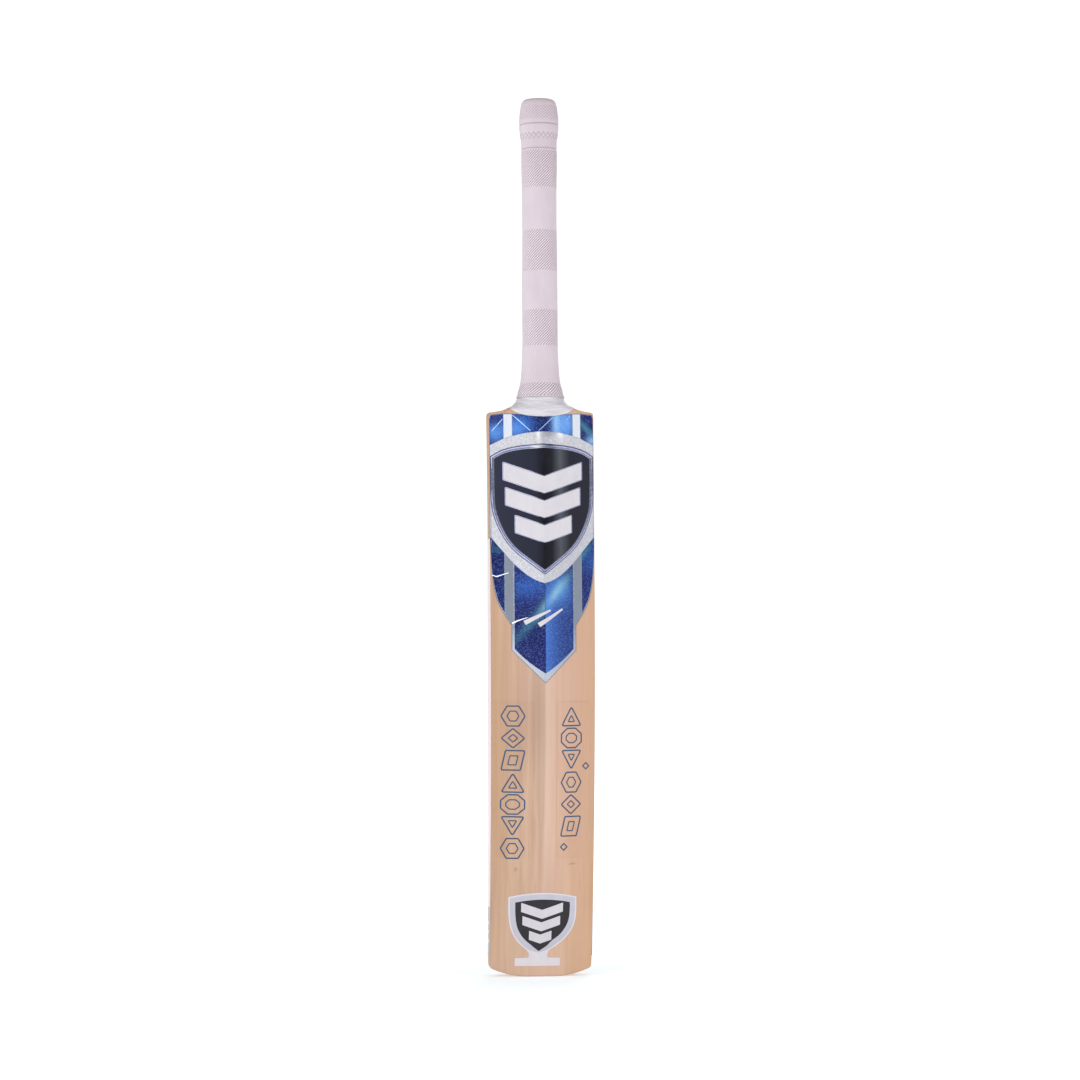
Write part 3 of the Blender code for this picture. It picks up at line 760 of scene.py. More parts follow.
def grip_finish(name):
    """Off-white rubber with a lilac cast: fine ribs, painted shade in the low parts of its pattern and
    painted highlight on its raised lines, a painted lighter left side, dull bloom.
    """
    f = Finish(name)
    cloud = f.noise((60, 60, 25), 3.0, 0.6)
    pores = f.noise((1400, 1400, 1400), 2.0)
    rubber = f.ramp(cloud, ((0.3, (229, 213, 221)), (0.6, (236, 221, 229)), (0.8, (239, 227, 233))))
    rubber = f.tint(rubber, (225, 209, 215), f.z, 0.775, 0.805, 0.8)
    # Painted light: the left side of the grip lighter
    rubber = f.tint(rubber, (255, 242, 250), f.x, -0.005, -0.016, 0.5)
    rubber = f.tint(rubber, (213, 198, 208), pores, 0.55, 0.75, 0.25)
    # Painted shade and highlight of the moulded pattern, from the value at each point
    hollow = f.add("ShaderNodeAttribute", attribute_name="hollow").outputs["Fac"]
    shade = f.ramp(hollow, ((0.0, (255, 255, 255)), (1.0, (152, 142, 150))))
    rubber = f.mix(1.0, rubber, shade, "MULTIPLY")
    ribbed = f.math("ADD", pores, f.times(f.wave(f.z, 0.0011), 0.35))
    f.surface(rubber, f.spread(cloud, 0.3, 0.7, 0.62, 0.78), ribbed, 0.00012, 0.6)


def tape_finish(name):
    """White cloth tape: fine weave under a slightly shiny coat, creases."""
    f = Finish(name)
    weave = f.times(f.wave(f.x, 0.0009), f.wave(f.z, 0.0009))
    creases = f.noise((40, 40, 420), 2.0, 0.5, 0.8)
    cloth = f.ramp(creases, ((0.3, (206, 201, 209)), (0.5, (222, 218, 224)), (0.7, (230, 226, 231))))
    height = f.math("ADD", weave, f.times(creases, 2.0))
    f.surface(cloth, f.spread(creases, 0.3, 0.7, 0.4, 0.6), height, 0.00012, 0.6)


NAVY = (30, 38, 102)
DARKEST = (18, 22, 78)
MID_BLUE = (56, 106, 194)
BRIGHT_BLUE = (98, 156, 236)
PALE_BLUE = (150, 196, 246)
TEAL = (66, 126, 146)
PALE_TEAL = (150, 200, 212)

# Painted reflections and painted shade in the blue foil, and painted reflections on the silver foil and on
# the badge's rim:
# (middle x, z), (length, width), angle, shade, strength
FOIL_REFLECTIONS_AND_SHADE = (
    ((-24, 540), (17, 12), 10, MID_BLUE, 0.95),
    ((-27, 538), (10, 7), 0, BRIGHT_BLUE, 0.65),
    ((20, 542), (11, 18), 0, MID_BLUE, 0.95),
    ((22, 542), (9, 13), 0, BRIGHT_BLUE, 0.95),
    ((23, 543), (7, 12), 0, PALE_BLUE, 0.3),
    ((13.0, 544), (4.2, 20), 0, PALE_BLUE, 1.0),
    ((-46, 400), (11, 60), 0, DARKEST, 0.8),
    ((-2, 546), (8, 14), 0, DARKEST, 0.8),
    ((-46, 534), (9, 9), 40, BRIGHT_BLUE, 0.8),
    ((-44, 546), (8, 4), 0, NAVY, 0.5),
    ((44, 538), (14, 3.0), -42, TEAL, 0.95),
    ((50, 526), (6, 5), 0, PALE_BLUE, 0.8),
    ((-47, 420), (8, 4), 0, TEAL, 0.35),
    ((41, 416), (11, 3), 50, TEAL, 0.8),
    ((47, 408), (8, 12), 0, MID_BLUE, 0.4),
    ((-16, 384), (18, 12), 20, MID_BLUE, 0.6),
    ((15, 381), (11, 14), 0, BRIGHT_BLUE, 0.75),
    ((-14, 342), (15, 20), 0, DARKEST, 0.55),
    ((-2, 361), (40, 4.2), 49, TEAL, 0.75),
    ((9, 375), (17, 4.2), 52, PALE_TEAL, 1.0),
)
SILVER_SHINE = (
    ((5, 535), (7, 7), 0, (138, 140, 150), 0.8),
    ((-5, 534), (2, 9), 0, (252, 252, 255), 0.8),
    ((17, 534), (3, 6), 0, (248, 248, 252), 0.8),
)
RIM_SHINE = (
    ((-7, 524), (5, 8), 0, (240, 240, 248), 0.9),
    ((7, 524), (6, 8), 0, (64, 66, 86), 0.8),
    ((0, 412), (5, 8), 0, (84, 84, 104), 0.6),
)


def blue_foil_finish(name):
    """Metallic blue foil: navy with painted reflections and painted shade, a fine glitter and small dents.
    """
    f = Finish(name)
    foil = f.mix(f.noise((30, 30, 22), 2.0, 0.5, 0.4), NAVY, (42, 38, 96))
    # Painted reflections and painted shade over the navy
    foil = f.spots(foil, FOIL_REFLECTIONS_AND_SHADE)
    # Painted highlight: the lower middle panel lighter just right of the ridge, fading to the right
    fading = f.math("EXPONENT", f.times(f.math("MAXIMUM", f.x, 0.0), -70.0))
    low_right = f.times(f.spread(f.x, -0.0002, 0.0006), fading, f.spread(f.z, 0.368, 0.395, 0.85, 0.0))
    foil = f.mix(low_right, foil, (80, 128, 216))
    foil = f.folded(foil, (28, 32, 70), 0.4)
    flakes = f.flakes()
    foil = f.tint(foil, (126, 168, 238), flakes, 0.6, 1.0, 0.26)
    foil = f.tint(foil, (24, 30, 86), flakes, 0.4, 0.0, 0.3)
    dents = f.noise((160, 160, 90), 1.0)
    f.surface(foil, f.spread(flakes, 0.0, 1.0, 0.42, 0.56), dents, 0.0002, 0.4, metallic=0.08, specular=0.05)


def glitter_finish(name, shade, dark, light, tip_share=0.0):
    """Silver foil full of fine flakes, folded at the ridge, with painted reflections and painted shade low
    on the right; its lower tip can be lighter.
    """
    f = Finish(name)
    flakes = f.flakes()
    patches = f.noise((220, 220, 220), 2.0)
    foil = f.tint(shade, light, flakes, 0.5, 1.0, 0.7)
    foil = f.tint(foil, dark, flakes, 0.5, 0.0, 0.6)
    foil = f.tint(foil, dark, patches, 0.5, 0.8, 0.3)
    foil = f.folded(foil, dark, 0.35)
    foil = f.tint(foil, light, f.z, 0.345, 0.325, tip_share)
    # Painted reflections
    foil = f.spots(foil, SILVER_SHINE)
    # Painted shade: the lower right of the silver darker
    low_right = f.times(f.spread(f.z, 0.46, 0.43), f.spread(f.x, 0.0, 0.02, 0.0, 0.35))
    foil = f.mix(low_right, foil, dark)
    f.surface(foil, f.spread(flakes, 0.0, 1.0, 0.35, 0.5), patches, 0.0001, 0.3, metallic=0.15, specular=0.3)


# Printed films: (shade, worn shade, roughness), and metallic and specular where they aren't usual
PRINTS = {
    "upper_stripe": ((218, 222, 234), (206, 210, 224), 0.4),
    "lower_stripe": ((132, 138, 152), (120, 126, 140), 0.45, 0.0, 0.2),
    "film_edge": ((104, 114, 138), (90, 100, 126), 0.45, 0.0, 0.2),
    "light_line": ((170, 205, 240), (140, 180, 225), 0.3, 0.3),
    # Creases of the film: painted highlight
    "film_crease_highlight": ((238, 238, 246), (215, 216, 230), 0.2, 0.3),
    "emblem_white": ((214, 208, 214), (203, 197, 205), 0.4),
    "label_white": ((224, 216, 222), (214, 206, 214), 0.4),
    "label_grey": ((196, 193, 204), (184, 181, 196), 0.4),
    "label_black": ((50, 47, 52), (58, 55, 60), 0.5, 0.0, 0.2),
    "decal_ink": ((40, 74, 110), (50, 84, 118), 0.4),
    "edge_white": ((245, 231, 228), (237, 223, 221), 0.4),
    "edge_grey": ((196, 190, 198), (184, 178, 190), 0.4),
}


def print_finish(name, shade, worn, roughness, metallic=0.0, specular=0.5):
    """Smooth printed film: slight clouds in its tone, faint scuffs in its gloss."""
    f = Finish(name)
    cloud = f.noise((120, 120, 60), 3.0, 0.6)
    scuffs = f.noise((700, 700, 80), 2.0, 0.5, 0.5)
    gloss = f.spread(scuffs, 0.35, 0.7, roughness, roughness + 0.15)
    f.surface(f.tint(shade, worn, cloud, 0.4, 0.75, 0.6), gloss, cloud, 0.0001, 0.25, metallic, specular)


# Dark plastic from the left edge to the right one: painted reflections, lighter on the left and in a band
# right of the ridge, and painted shade at the ridge
BADGE_PAINTED_REFLECTIONS = (
    (-50, (48, 50, 68)), (-8, (38, 40, 54)), (0, (22, 22, 28)), (8, (30, 31, 38)), (16.5, (84, 86, 94)),
    (26, (40, 41, 50)), (50, (42, 42, 54)),
)


def badge_finish(name):
    """Dark glossy plastic: soft painted reflections across it, faint scuffs."""
    f = Finish(name)
    cloud = f.noise((120, 120, 60), 3.0, 0.6)
    # Painted reflections and painted shade across the plate
    dark = f.tint(f.across(BADGE_PAINTED_REFLECTIONS), (46, 47, 60), cloud, 0.4, 0.75, 0.3)
    f.surface(dark, f.spread(cloud, 0.35, 0.7, 0.4, 0.5), cloud, 0.0001, 0.2, specular=0.08)


def chrome_finish(name):
    """Bright rim of the badge: satin chrome with a lavender cast and painted reflections."""
    f = Finish(name)
    brushed = f.noise((260, 260, 500), 2.0)
    # Painted reflections on the rim
    metal = f.spots(f.mix(brushed, (112, 114, 148), (176, 178, 204)), RIM_SHINE)
    f.surface(metal, f.spread(brushed, 0.3, 0.7, 0.16, 0.3), brushed, 0.00005, 0.3, metallic=0.9)


def make_finishes():
    """Every material of the bat; its pieces find theirs by name."""
    willow_finish("willow")
    willow_finish("willow_under_film", (253, 250, 246), 0.08)
    glitter_finish("silver_glitter", (196, 195, 202), (166, 167, 177), (228, 228, 232))
    glitter_finish("steel_glitter", (142, 150, 168), (112, 120, 142), (198, 202, 212), tip_share=0.7)
    for name, look in PRINTS.items():
        print_finish(name, *look)
    cane_finish("cane")
    spring_finish("spring_rubber")
    twine_finish("twine")
    grip_finish("grip_rubber")
    tape_finish("tape_cloth")
    blue_foil_finish("blue_foil")
    badge_finish("badge_black")
    chrome_finish("badge_chrome")


# ---------------------------------------------------------------- blade

BACK_SHARES = graded(0.01, 1.22, 0.045, 0.94)
FACE_SHARES = [0.94 * k / 16 for k in range(17)]
ARRIS_TURNS = (0, 22, 42, 60, 76, 90)
EDGE_POINTS = 3

TOE_HEIGHTS = [0.0, 0.0002, 0.0004, 0.0006, 0.0009, 0.0012, 0.0015, 0.0025, 0.0045, 0.007, 0.0095]
SHOULDER_HEIGHTS = [0.551, 0.5518, 0.5525, 0.553, 0.5535]
SOLE_SHARES = (0.0, 0.25, 0.5, 0.75)

# Half of the splice's outline in the handle's frame: (x, height above the shoulder line)
SPLICE_RIGHT = [(0.0015, -0.1253), (0.0153, 0.012), (0.0153, 0.1)]
SPLICE_REACH = 0.06


def arris(x_side, y, radius, inward):
    """Points round an arris, from the flat to the edge; inward is 1 from the back and -1 from the face."""
    turns = [math.radians(a) for a in ARRIS_TURNS]
    return [(x_side - radius * (1 - math.sin(t)), y + inward * radius * (1 - math.cos(t))) for t in turns]


def blade_side(z):
    """Right half of the section at a height, from the spine round the edge to the face's middle."""
    half = half_width(z)
    rim_x = half - ARRIS_BACK
    back = [(s * half, back_y(s * half, z)) for s in BACK_SHARES]
    face = [(s * half, face_y(s * half, z)) for s in reversed(FACE_SHARES)]
    back_arris = arris(half, back_y(rim_x, z), ARRIS_BACK, 1)
    face_arris = arris(half, face_y(rim_x, z), ARRIS_FACE, -1)[::-1]
    low, high = back_arris[-1][1], face_arris[0][1]
    shares = even(0, 1, EDGE_POINTS + 1)[1:-1]
    edge = [(half + EDGE_BULGE * 4 * t * (1 - t), low + (high - low) * t) for t in shares]
    return back + back_arris + edge + face_arris + face


def oval_side(z):
    """Right half of an oval round the handle's axis, point for point like blade_side."""
    above = z - SHOULDER_Z
    half = half_width(z)
    deep_back, deep_face = along(NECK_BACK, above), along(NECK_FACE, above)
    turns = [math.asin(s) for s in BACK_SHARES]
    last = math.pi - math.asin(FACE_SHARES[-1])
    between = 2 * len(ARRIS_TURNS) + EDGE_POINTS
    turns += even(turns[-1], last, between + 1)[1:-1]
    turns += [math.pi - math.asin(s) for s in reversed(FACE_SHARES)]
    deeps = [deep_back if t < math.pi / 2 else deep_face for t in turns]
    return [(half * math.sin(t), axis_y(z) - deep * math.cos(t)) for t, deep in zip(turns, deeps)]


def section(z):
    side = blade_side(z)
    if z > SHOULDER_Z:
        blend = smoothstep((z - SHOULDER_Z) / NECK_ROUND_HEIGHT)
        oval = oval_side(z)
        side = [(a[0] + blend * (b[0] - a[0]), a[1] + blend * (b[1] - a[1])) for a, b in zip(side, oval)]
    return side + [(-x, y) for x, y in side[-2:0:-1]]


def blade_ring(z):
    """Section at a height, bent up towards the toe's corners and drawn in where the toe is rounded."""
    inset = along(TOE_ROUND, z)
    centre = edge_centre(min(z, SHOULDER_Z))
    ring = []
    for x, y in section(z):
        reach = max(abs(y - centre), 0.001)
        x_in = x * (1 - inset / half_width(z))
        y_in = centre + (y - centre) * max(1 - inset / reach, 0.3) if inset else y
        ring.append(Vector((x_in, y_in, z + toe_rise(x_in) * toe_fade(z))))
    return ring


def blade_heights():
    neck_low = [SHOULDER_Z + 0.0005 * k for k in range(24)]
    return TOE_HEIGHTS + even(0.012, 0.55, 180) + SHOULDER_HEIGHTS + neck_low + even(0.566, NECK_TOP_Z, 24)


def splice_cutter():
    """Prism through the blade where the handle's wedge goes in."""
    corners = SPLICE_RIGHT + [(-x, z) for x, z in reversed(SPLICE_RIGHT)]
    rings = [[handle_frame() @ Vector((x, y, z)) for x, z in corners] for y in (-SPLICE_REACH, SPLICE_REACH)]
    data = bpy.data.meshes.new("splice_cutter")
    vertices, faces = rings_mesh(rings)
    data.from_pydata(vertices, [], faces)
    cleaned(data)
    cutter = bpy.data.objects.new("splice_cutter", data)
    bpy.context.scene.collection.objects.link(cutter)
    return cutter


def cut(target, cutter):
    """Cuts one object out of another, and removes the cutter."""
    change = target.modifiers.new("Cut", "BOOLEAN")
    change.operation = "DIFFERENCE"
    change.solver = "EXACT"
    change.object = cutter
    bpy.context.view_layer.update()
    evaluated = target.evaluated_get(bpy.context.evaluated_depsgraph_get())
    result = bpy.data.meshes.new_from_object(evaluated)
    target.modifiers.remove(change)
    target.data = result
    bpy.data.objects.remove(cutter)


def make_blade():
    """Blade skinned over its sections; the toe's sole closes in on its middle line."""
    rings = [blade_ring(z) for z in blade_heights()]
    middle = edge_centre(0)
    sole = [[Vector((v.x, middle + (v.y - middle) * share, v.z)) for v in rings[0]] for share in SOLE_SHARES]
    vertices, faces = rings_mesh(sole + rings)
    blade = piece("blade_willow", (vertices, faces[:-2] + faces[-1:]), "willow", ["blade"])
    cleaned(blade.data, weld=0.00001)
    cut(blade, splice_cutter())
    shaded(blade.data, PIECE_SHARP)


# ---------------------------------------------------------------- handle

# Grip's outside and inside, in the handle's frame: (height, half width, half depth)
GRIP_PROFILE = (
    (0.0145, 0.0240, 0.0226), (0.017, 0.0229, 0.0218), (0.021, 0.0220, 0.0212), (0.028, 0.0200, 0.0194),
    (0.042, 0.0185, 0.0183), (0.057, 0.0178, 0.0178), (0.072, 0.0175, 0.0175), (0.102, 0.0175, 0.0175),
    (0.161, 0.0173, 0.0173), (0.19, 0.017, 0.017), (0.22, 0.01715, 0.01715), (0.249, 0.0177, 0.0177),
    (0.2595, 0.0176, 0.0176), (0.2605, 0.0171, 0.0171), (0.2615, 0.0176, 0.0176), (0.27, 0.0177, 0.0177),
    (0.278, 0.0191, 0.0191), (0.2835, 0.0195, 0.0195), (0.2845, 0.0189, 0.0189), (0.2855, 0.0195, 0.0195),
    (0.29, 0.0194, 0.0194), (0.297, 0.0187, 0.0187), (0.3025, 0.0179, 0.0179), (0.3065, 0.0168, 0.0168),
    (0.3088, 0.0152, 0.0152), (0.3097, 0.0135, 0.0135),
)
GRIP_ACROSS = tuple((h, a) for h, a, d in GRIP_PROFILE)
GRIP_DEEP = tuple((h, d) for h, a, d in GRIP_PROFILE)
GRIP_BODY_TOP, GRIP_TOP = 0.3088, 0.3097
GRIP_INSIDE = (
    (0.3097, 0.006, 0.006), (0.3068, 0.006, 0.006), (0.3068, 0.01585, 0.01585), (0.16, 0.01585, 0.01585),
    (0.072, 0.01585, 0.01585), (0.057, 0.0162, 0.016), (0.042, 0.017, 0.0166), (0.028, 0.0184, 0.0178),
    (0.021, 0.0206, 0.0197), (0.017, 0.0220, 0.0208), (0.0145, 0.0233, 0.0218),
)
# Rings on the grip's end, with a shallow groove round its hole: (radius, depth below the top)
GRIP_END = (
    (0.0142, 0.00035), (0.0133, 0.0001), (0.0124, 0.0), (0.0116, 0.00025), (0.0108, 0.0), (0.0085, 0.0),
    (0.0068, 0.0001),
)
GRIP_SEGMENTS = 240
GRIP_SHARP = 50
HATCH_LINES = 40
HATCH_PITCH = 0.00275
HATCH_BANDS = ((0.0155, 0.029), (0.065, 0.101), (0.139, 0.18), (0.2215, 0.2585))
HATCH_SOFT = 0.0008
CAP_HATCH = (0.288, 0.3035)
CAP_HATCH_SOFT = 0.002
CAP_HATCH_SHARE = 0.6
# Painted shade of the plain sleeve, between lit raised lines (0) and the darkest grooves (1)
PLAIN_SHADE = 0.28
RING_GROOVES = (0.2605, 0.2845)
RING_GROOVE_WIDTH = 0.0006
EMBOSS_MIDDLE = 0.2725
EMBOSS_COUNT = 24
EMBOSS_HEIGHT = 0.00045
EMBOSS_REACH = 0.0026
COLLAR = (0.259, 0.287)


def ridge(phase, sharpness=1.5):
    return (0.5 + 0.5 * math.cos(2 * math.pi * phase)) ** sharpness


def inside_band(height, low, high, soft):
    return smoothstep((height - low) / soft) * smoothstep((high - height) / soft)


def grip_relief(height, turn):
    """Height of the moulded pattern above the plain sleeve, in metres, and its painted shade: 0 lit raised
    lines, 1 the darkest grooves.
    """
    around = turn / (2 * math.pi)
    first = ridge(around * HATCH_LINES - height / HATCH_PITCH)
    second = ridge(around * HATCH_LINES + height / HATCH_PITCH)
    hatched = sum(inside_band(height, low, high, HATCH_SOFT) for low, high in HATCH_BANDS)
    hatched += CAP_HATCH_SHARE * inside_band(height, *CAP_HATCH, CAP_HATCH_SOFT)
    relief = hatched * (-0.0003 + 0.00034 * first + 0.00012 * second)
    # Painted shade of the pattern: raised lines lit, low parts dark
    pattern = 1.15 * (1 - first) ** 3 * (1 - 0.35 * second)
    hollow = PLAIN_SHADE + hatched * (pattern - PLAIN_SHADE)
    side = abs(around * EMBOSS_COUNT % 1 - 0.5) / 0.36
    up = abs(height - EMBOSS_MIDDLE) / EMBOSS_REACH
    relief += EMBOSS_HEIGHT * smoothstep((1.15 - side - up) / 0.3)
    # Painted shade round the embossed marks and in the ring grooves
    edge = smoothstep((1.45 - side - up) / 0.2) * smoothstep((side + up - 0.95) / 0.2)
    groove = max(math.exp(-(((height - h) / RING_GROOVE_WIDTH) ** 2)) for h in RING_GROOVES)
    return relief, min(hollow + 0.6 * edge + 0.3 * groove, 1.0)


def grip_heights():
    """Heights of the grip's rings: close together where there is a pattern, wider elsewhere."""
    heights, height, margin = [], GRIP_PROFILE[0][0], 0.001
    while height < GRIP_BODY_TOP:
        heights.append(height)
        hatched = any(a - margin < height < b + margin for a, b in HATCH_BANDS + (CAP_HATCH,))
        fine = COLLAR[0] < height < COLLAR[1]
        height += 0.0006 if hatched else 0.0004 if fine else 0.0014
    return heights


def grip_turns():
    return [2 * math.pi * s / GRIP_SEGMENTS for s in range(GRIP_SEGMENTS)]


def oval_ring(height, across, deep):
    return [Vector((across * math.cos(t), deep * math.sin(t), height)) for t in grip_turns()]


def patterned_ring(height, relief):
    """Ring of the grip's outside, raised by the relief at each of its points."""
    across, deep = along(GRIP_ACROSS, height), along(GRIP_DEEP, height)
    ring = []
    for t, lift in zip(grip_turns(), relief):
        ring.append(Vector(((across + lift) * math.cos(t), (deep + lift) * math.sin(t), height)))
    return ring


def make_grip():
    """Sleeve with its moulded pattern; a value at each point gives the painted shade there: light on raised
    lines, dark in the pattern's low parts, the ring grooves and round the embossed marks.
    """
    rings, relief_shades = [], []
    for height in grip_heights():
        relief, hollow = zip(*(grip_relief(height, turn) for turn in grip_turns()))
        rings.append(patterned_ring(height, relief))
        relief_shades += hollow
    rings += [oval_ring(GRIP_TOP - drop, radius, radius) for radius, drop in GRIP_END]
    rings += [oval_ring(*station) for station in GRIP_INSIDE]
    mesh = rings_mesh([[handle_frame() @ v for v in ring] for ring in rings], closed=True)
    grip = piece("grip_sleeve", mesh, "grip_rubber", ["grip"], sharp=GRIP_SHARP)
    depth = grip.data.attributes.new("hollow", "FLOAT", "POINT")
    depth.data.foreach_set("value", relief_shades + [PLAIN_SHADE] * (len(mesh[0]) - len(relief_shades)))


TAPE_TURNS = 4
TAPE_ROWS = 60
TAPE_SHARP = 60
TAPE_LOWEST = 0.5485
TAPE_SPACING = 0.0003
# Tape's lower edge: (distance from the middle, height)
TAPE_EDGE = ((0.0, 0.5497), (0.012, 0.5503), (0.0215, 0.5522), (0.0295, 0.5562), (0.033, 0.5592))
TAPE_THICKNESS = 0.0003
TAPE_STEP = 0.00028
TAPE_CREASE = 0.00012


def tape_lift(share, around):
    """Tape's height over the wood, at shares of its own height and of the way round."""
    turn = share * TAPE_TURNS + 0.35 * around
    step = 1 - smoothstep((turn % 1) / 0.85)
    crease = 0.5 + 0.5 * math.sin(41 * around + 23 * share)
    return TAPE_THICKNESS + TAPE_STEP * step + TAPE_CREASE * crease


def tape_base(top):
    """Rings of the wood's surface under the tape, from its curved lower edge to its top."""
    count = round((top - TAPE_LOWEST) / TAPE_SPACING) + 3
    fine = [TAPE_LOWEST + TAPE_SPACING * k for k in range(count)]
    rings = [blade_ring(z) for z in fine]

    def start(i):
        """Height where a column of the blade's points meets the tape's lower edge."""
        over = [z - along(TAPE_EDGE, abs(ring[i].x)) for z, ring in zip(fine, rings)]
        k = next(k for k in range(1, count) if over[k] >= 0)
        return fine[k] - TAPE_SPACING * min(over[k] / (over[k] - over[k - 1]), 1.0)

    def point(i, z):
        k = min(max(int((z - TAPE_LOWEST) / TAPE_SPACING), 0), count - 2)
        t = min(max((z - fine[k]) / TAPE_SPACING, 0.0), 1.0)
        return rings[k][i].lerp(rings[k + 1][i], t)

    columns = [even(start(i), top, TAPE_ROWS) for i in range(len(rings[0]))]
    return [[point(i, column[r]) for i, column in enumerate(columns)] for r in range(TAPE_ROWS + 1)]


def make_neck_tape():
    """Tape in overlapping turns: each turn's lower edge is a small step, and the film is creased."""
    base = tape_base(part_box("neck_tape")[1].z + 0.001)
    size = len(base[0])
    outer = []
    for r, ring in enumerate(base):
        below, above = base[max(r - 1, 0)], base[min(r + 1, TAPE_ROWS)]
        moved = []
        for i, v in enumerate(ring):
            around = ring[(i + 1) % size] - ring[i - 1]
            normal = around.cross(above[i] - below[i]).normalized()
            moved.append(v + normal * tape_lift(r / TAPE_ROWS, i / size))
        outer.append(moved)
    mesh = rings_mesh(outer + base[::-1], closed=True)
    piece("neck_tape_wrap", mesh, "tape_cloth", ["neck_tape"], sharp=TAPE_SHARP)


# ---------------------------------------------------------------- stickers on the back

# Lower edge of the silver band under the badge: (distance from the middle, height above the badge's foot)
VEE_EDGE = ((0.0, -9.0), (5.0, -7.4), (13.5, -3.2), (27.5, 8.5), (37.0, 19.3), (51.0, 36.0))
# Distances from the middle: sides of the stripes, and the side of the lower middle panel
STRIPE_INNER, STRIPE_OUTER, MIDDLE_PANEL_SIDE = 29.4, 38.0, 28.7
PANEL_GAP = 0.5
# Small creases in the foil, raised and painted white as highlights, and two plain slashes over it
CREASES = (
    bar((-50, 394.5), (-45.5, 393), 0.8), bar((-45.5, 393), (-34, 396.8), 1.1, 0.5),
    bar((-31, 347.5), (-26, 350), 1.6, 0.8), bar((-26, 350), (-16, 353.5), 1.2, 0.3),
)
SLASHES = (bar((-19.5, 348), (5, 360.5), 4.6, 0.4), bar((-6, 346), (17.5, 361.5), 4.6, 0.4))


def main_sticker_outline(top, foot, side):
    tip = [(0.0, foot), (31.5, foot + 31.5)]
    lower = [(31.5, foot + 56), (38.5, foot + 66.5), (45.5, foot + 81.5), (49.6, foot + 104.5)]
    upper = [(side, top - 4.6), (49.9, top - 1.1), (40, top), (30, top - 0.25), (21.5, top - 0.75)]
    brow = [(12, top - 2.45), (0.0, top - 3.05)]
    return mirrored(tip + curve(lower + [(side, foot + 140)]) + upper + brow)


def vee(*places):
    """Points of the silver band's lower edge at some distances from the middle."""
    badge_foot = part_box("badge")[0].z * 1000
    return [(x, badge_foot + along(VEE_EDGE, x)) for x in places]


def lay_panels(top, foot, edge, arch, arch_top):
    """Six panels of blue foil, above and below the badge."""
    inner, outer, waist = STRIPE_INNER, STRIPE_OUTER, MIDDLE_PANEL_SIDE
    top_middle = mirrored(arch + [(inner, top - 0.5), (21.5, top - 1.1), (12, top - 2.8), (0.0, top - 3.4)])
    top_right = [(outer, arch_top - 7), (edge, arch_top - 13)]
    top_right += [(edge, top - 5), (49.6, top - 1.7), (outer, top - 0.5)]
    low_side = curve([(outer, foot + 68.5), (44.6, foot + 82.5), (49.0, foot + 105), (edge, foot + 138)])
    low_right = low_side + vee(edge, 44, outer)
    tip = [(0.0, foot + 9.5), (7.5, foot + 14.4), (15, foot + 20.0), (22, foot + 26.2), (waist, foot + 33)]
    panels = {
        "top_middle": top_middle, "top_right": top_right, "top_left": flipped(top_right),
        "lower_right": low_right, "lower_left": flipped(low_right),
        "lower_middle": mirrored(tip + vee(waist, 22, 16, 10, 5, 0)),
    }
    for name, panel in panels.items():
        laid("blue_panel_" + name, [panel], PRINT, "blue_foil", "blue_film", radius=0.6)


def lay_silver(top, foot, edge, arch, arch_top):
    """Silver ground round the badge, and the stripes above and below it."""
    gap, outer = PANEL_GAP, STRIPE_OUTER
    ground = [(x, z + gap) for x, z in vee(0, 5, 10, 16, 22, MIDDLE_PANEL_SIDE, 33, outer, 44, edge)]
    ground += [(edge, arch_top - 13 - gap), (outer, arch_top - 7 - gap)]
    ground += [(x, z - gap) for x, z in reversed(arch)]
    laid("sticker_silver_ground", [mirrored(ground)], GROUND, "silver_glitter", "silver_film")
    left, right = STRIPE_INNER + gap, outer - gap
    upper = [(left, arch_top - 4.2), (right, arch_top - 6.7), (right, top - 0.6), (left, top - 0.7)]
    lower = [(left, foot + 55), (right, foot + 66.8)] + vee(right, left)
    laid("upper_stripes", [upper, flipped(upper)], STRIPES, "upper_stripe", "silver_film")
    laid("lower_stripes", [lower, flipped(lower)], STRIPES, "lower_stripe", "silver_film")


def make_main_sticker():
    """Steel film with silver ground, blue panels and pale stripes, from the shoulders to a point."""
    low, high = box_mm("main_back_sticker")
    top, foot, side = high.z, low.z, high.x + 0.3
    body = main_sticker_outline(top, foot, side)
    laid("main_sticker_film", [body], FILM, "steel_glitter", "silver_film", ["main_back_sticker"])
    piece("main_sticker_edge", stroke(back_sheet, body, 0.45, *EDGE_LINE), "film_edge")
    edge = side - 0.3
    arch_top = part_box("badge")[1].z * 1000 + 12.5
    arch = [(x, arch_top - 4.2 * (x / STRIPE_INNER) ** 2) for x in (0, 8, 15, 22, STRIPE_INNER)]
    lay_panels(top, foot, edge, arch, arch_top)
    lay_silver(top, foot, edge, arch, arch_top)
    lines = [
        bar((-48.8, top - 17), (-38.6, top - 5.5), 0.7),
        bar((-29.0, top - 1.6), (-12.5, arch_top + 0.6), 0.8),
        bar((9.5, top - 3.8), (-4.5, arch_top + 0.6), 0.7),
        bar((27.5, top - 2.0), (23, top - 6.5), 0.5),
    ]
    laid("sticker_light_lines", lines, OVERPRINT, "light_line", "blue_film")
    laid("sticker_creases", CREASES, CREASE, "film_crease_highlight", "silver_film")
    laid("sticker_slashes", SLASHES, OVERPRINT, "emblem_white", "silver_film", radius=0.6)


def chevron(tip, half, rise, thickness, centre=0.0):
    """Polygon of a chevron that points down."""
    right = [(0.0, tip), (half, tip + rise), (half, tip + rise + thickness), (0.0, tip + thickness)]
    return [(x + centre, z) for x, z in mirrored(right)]


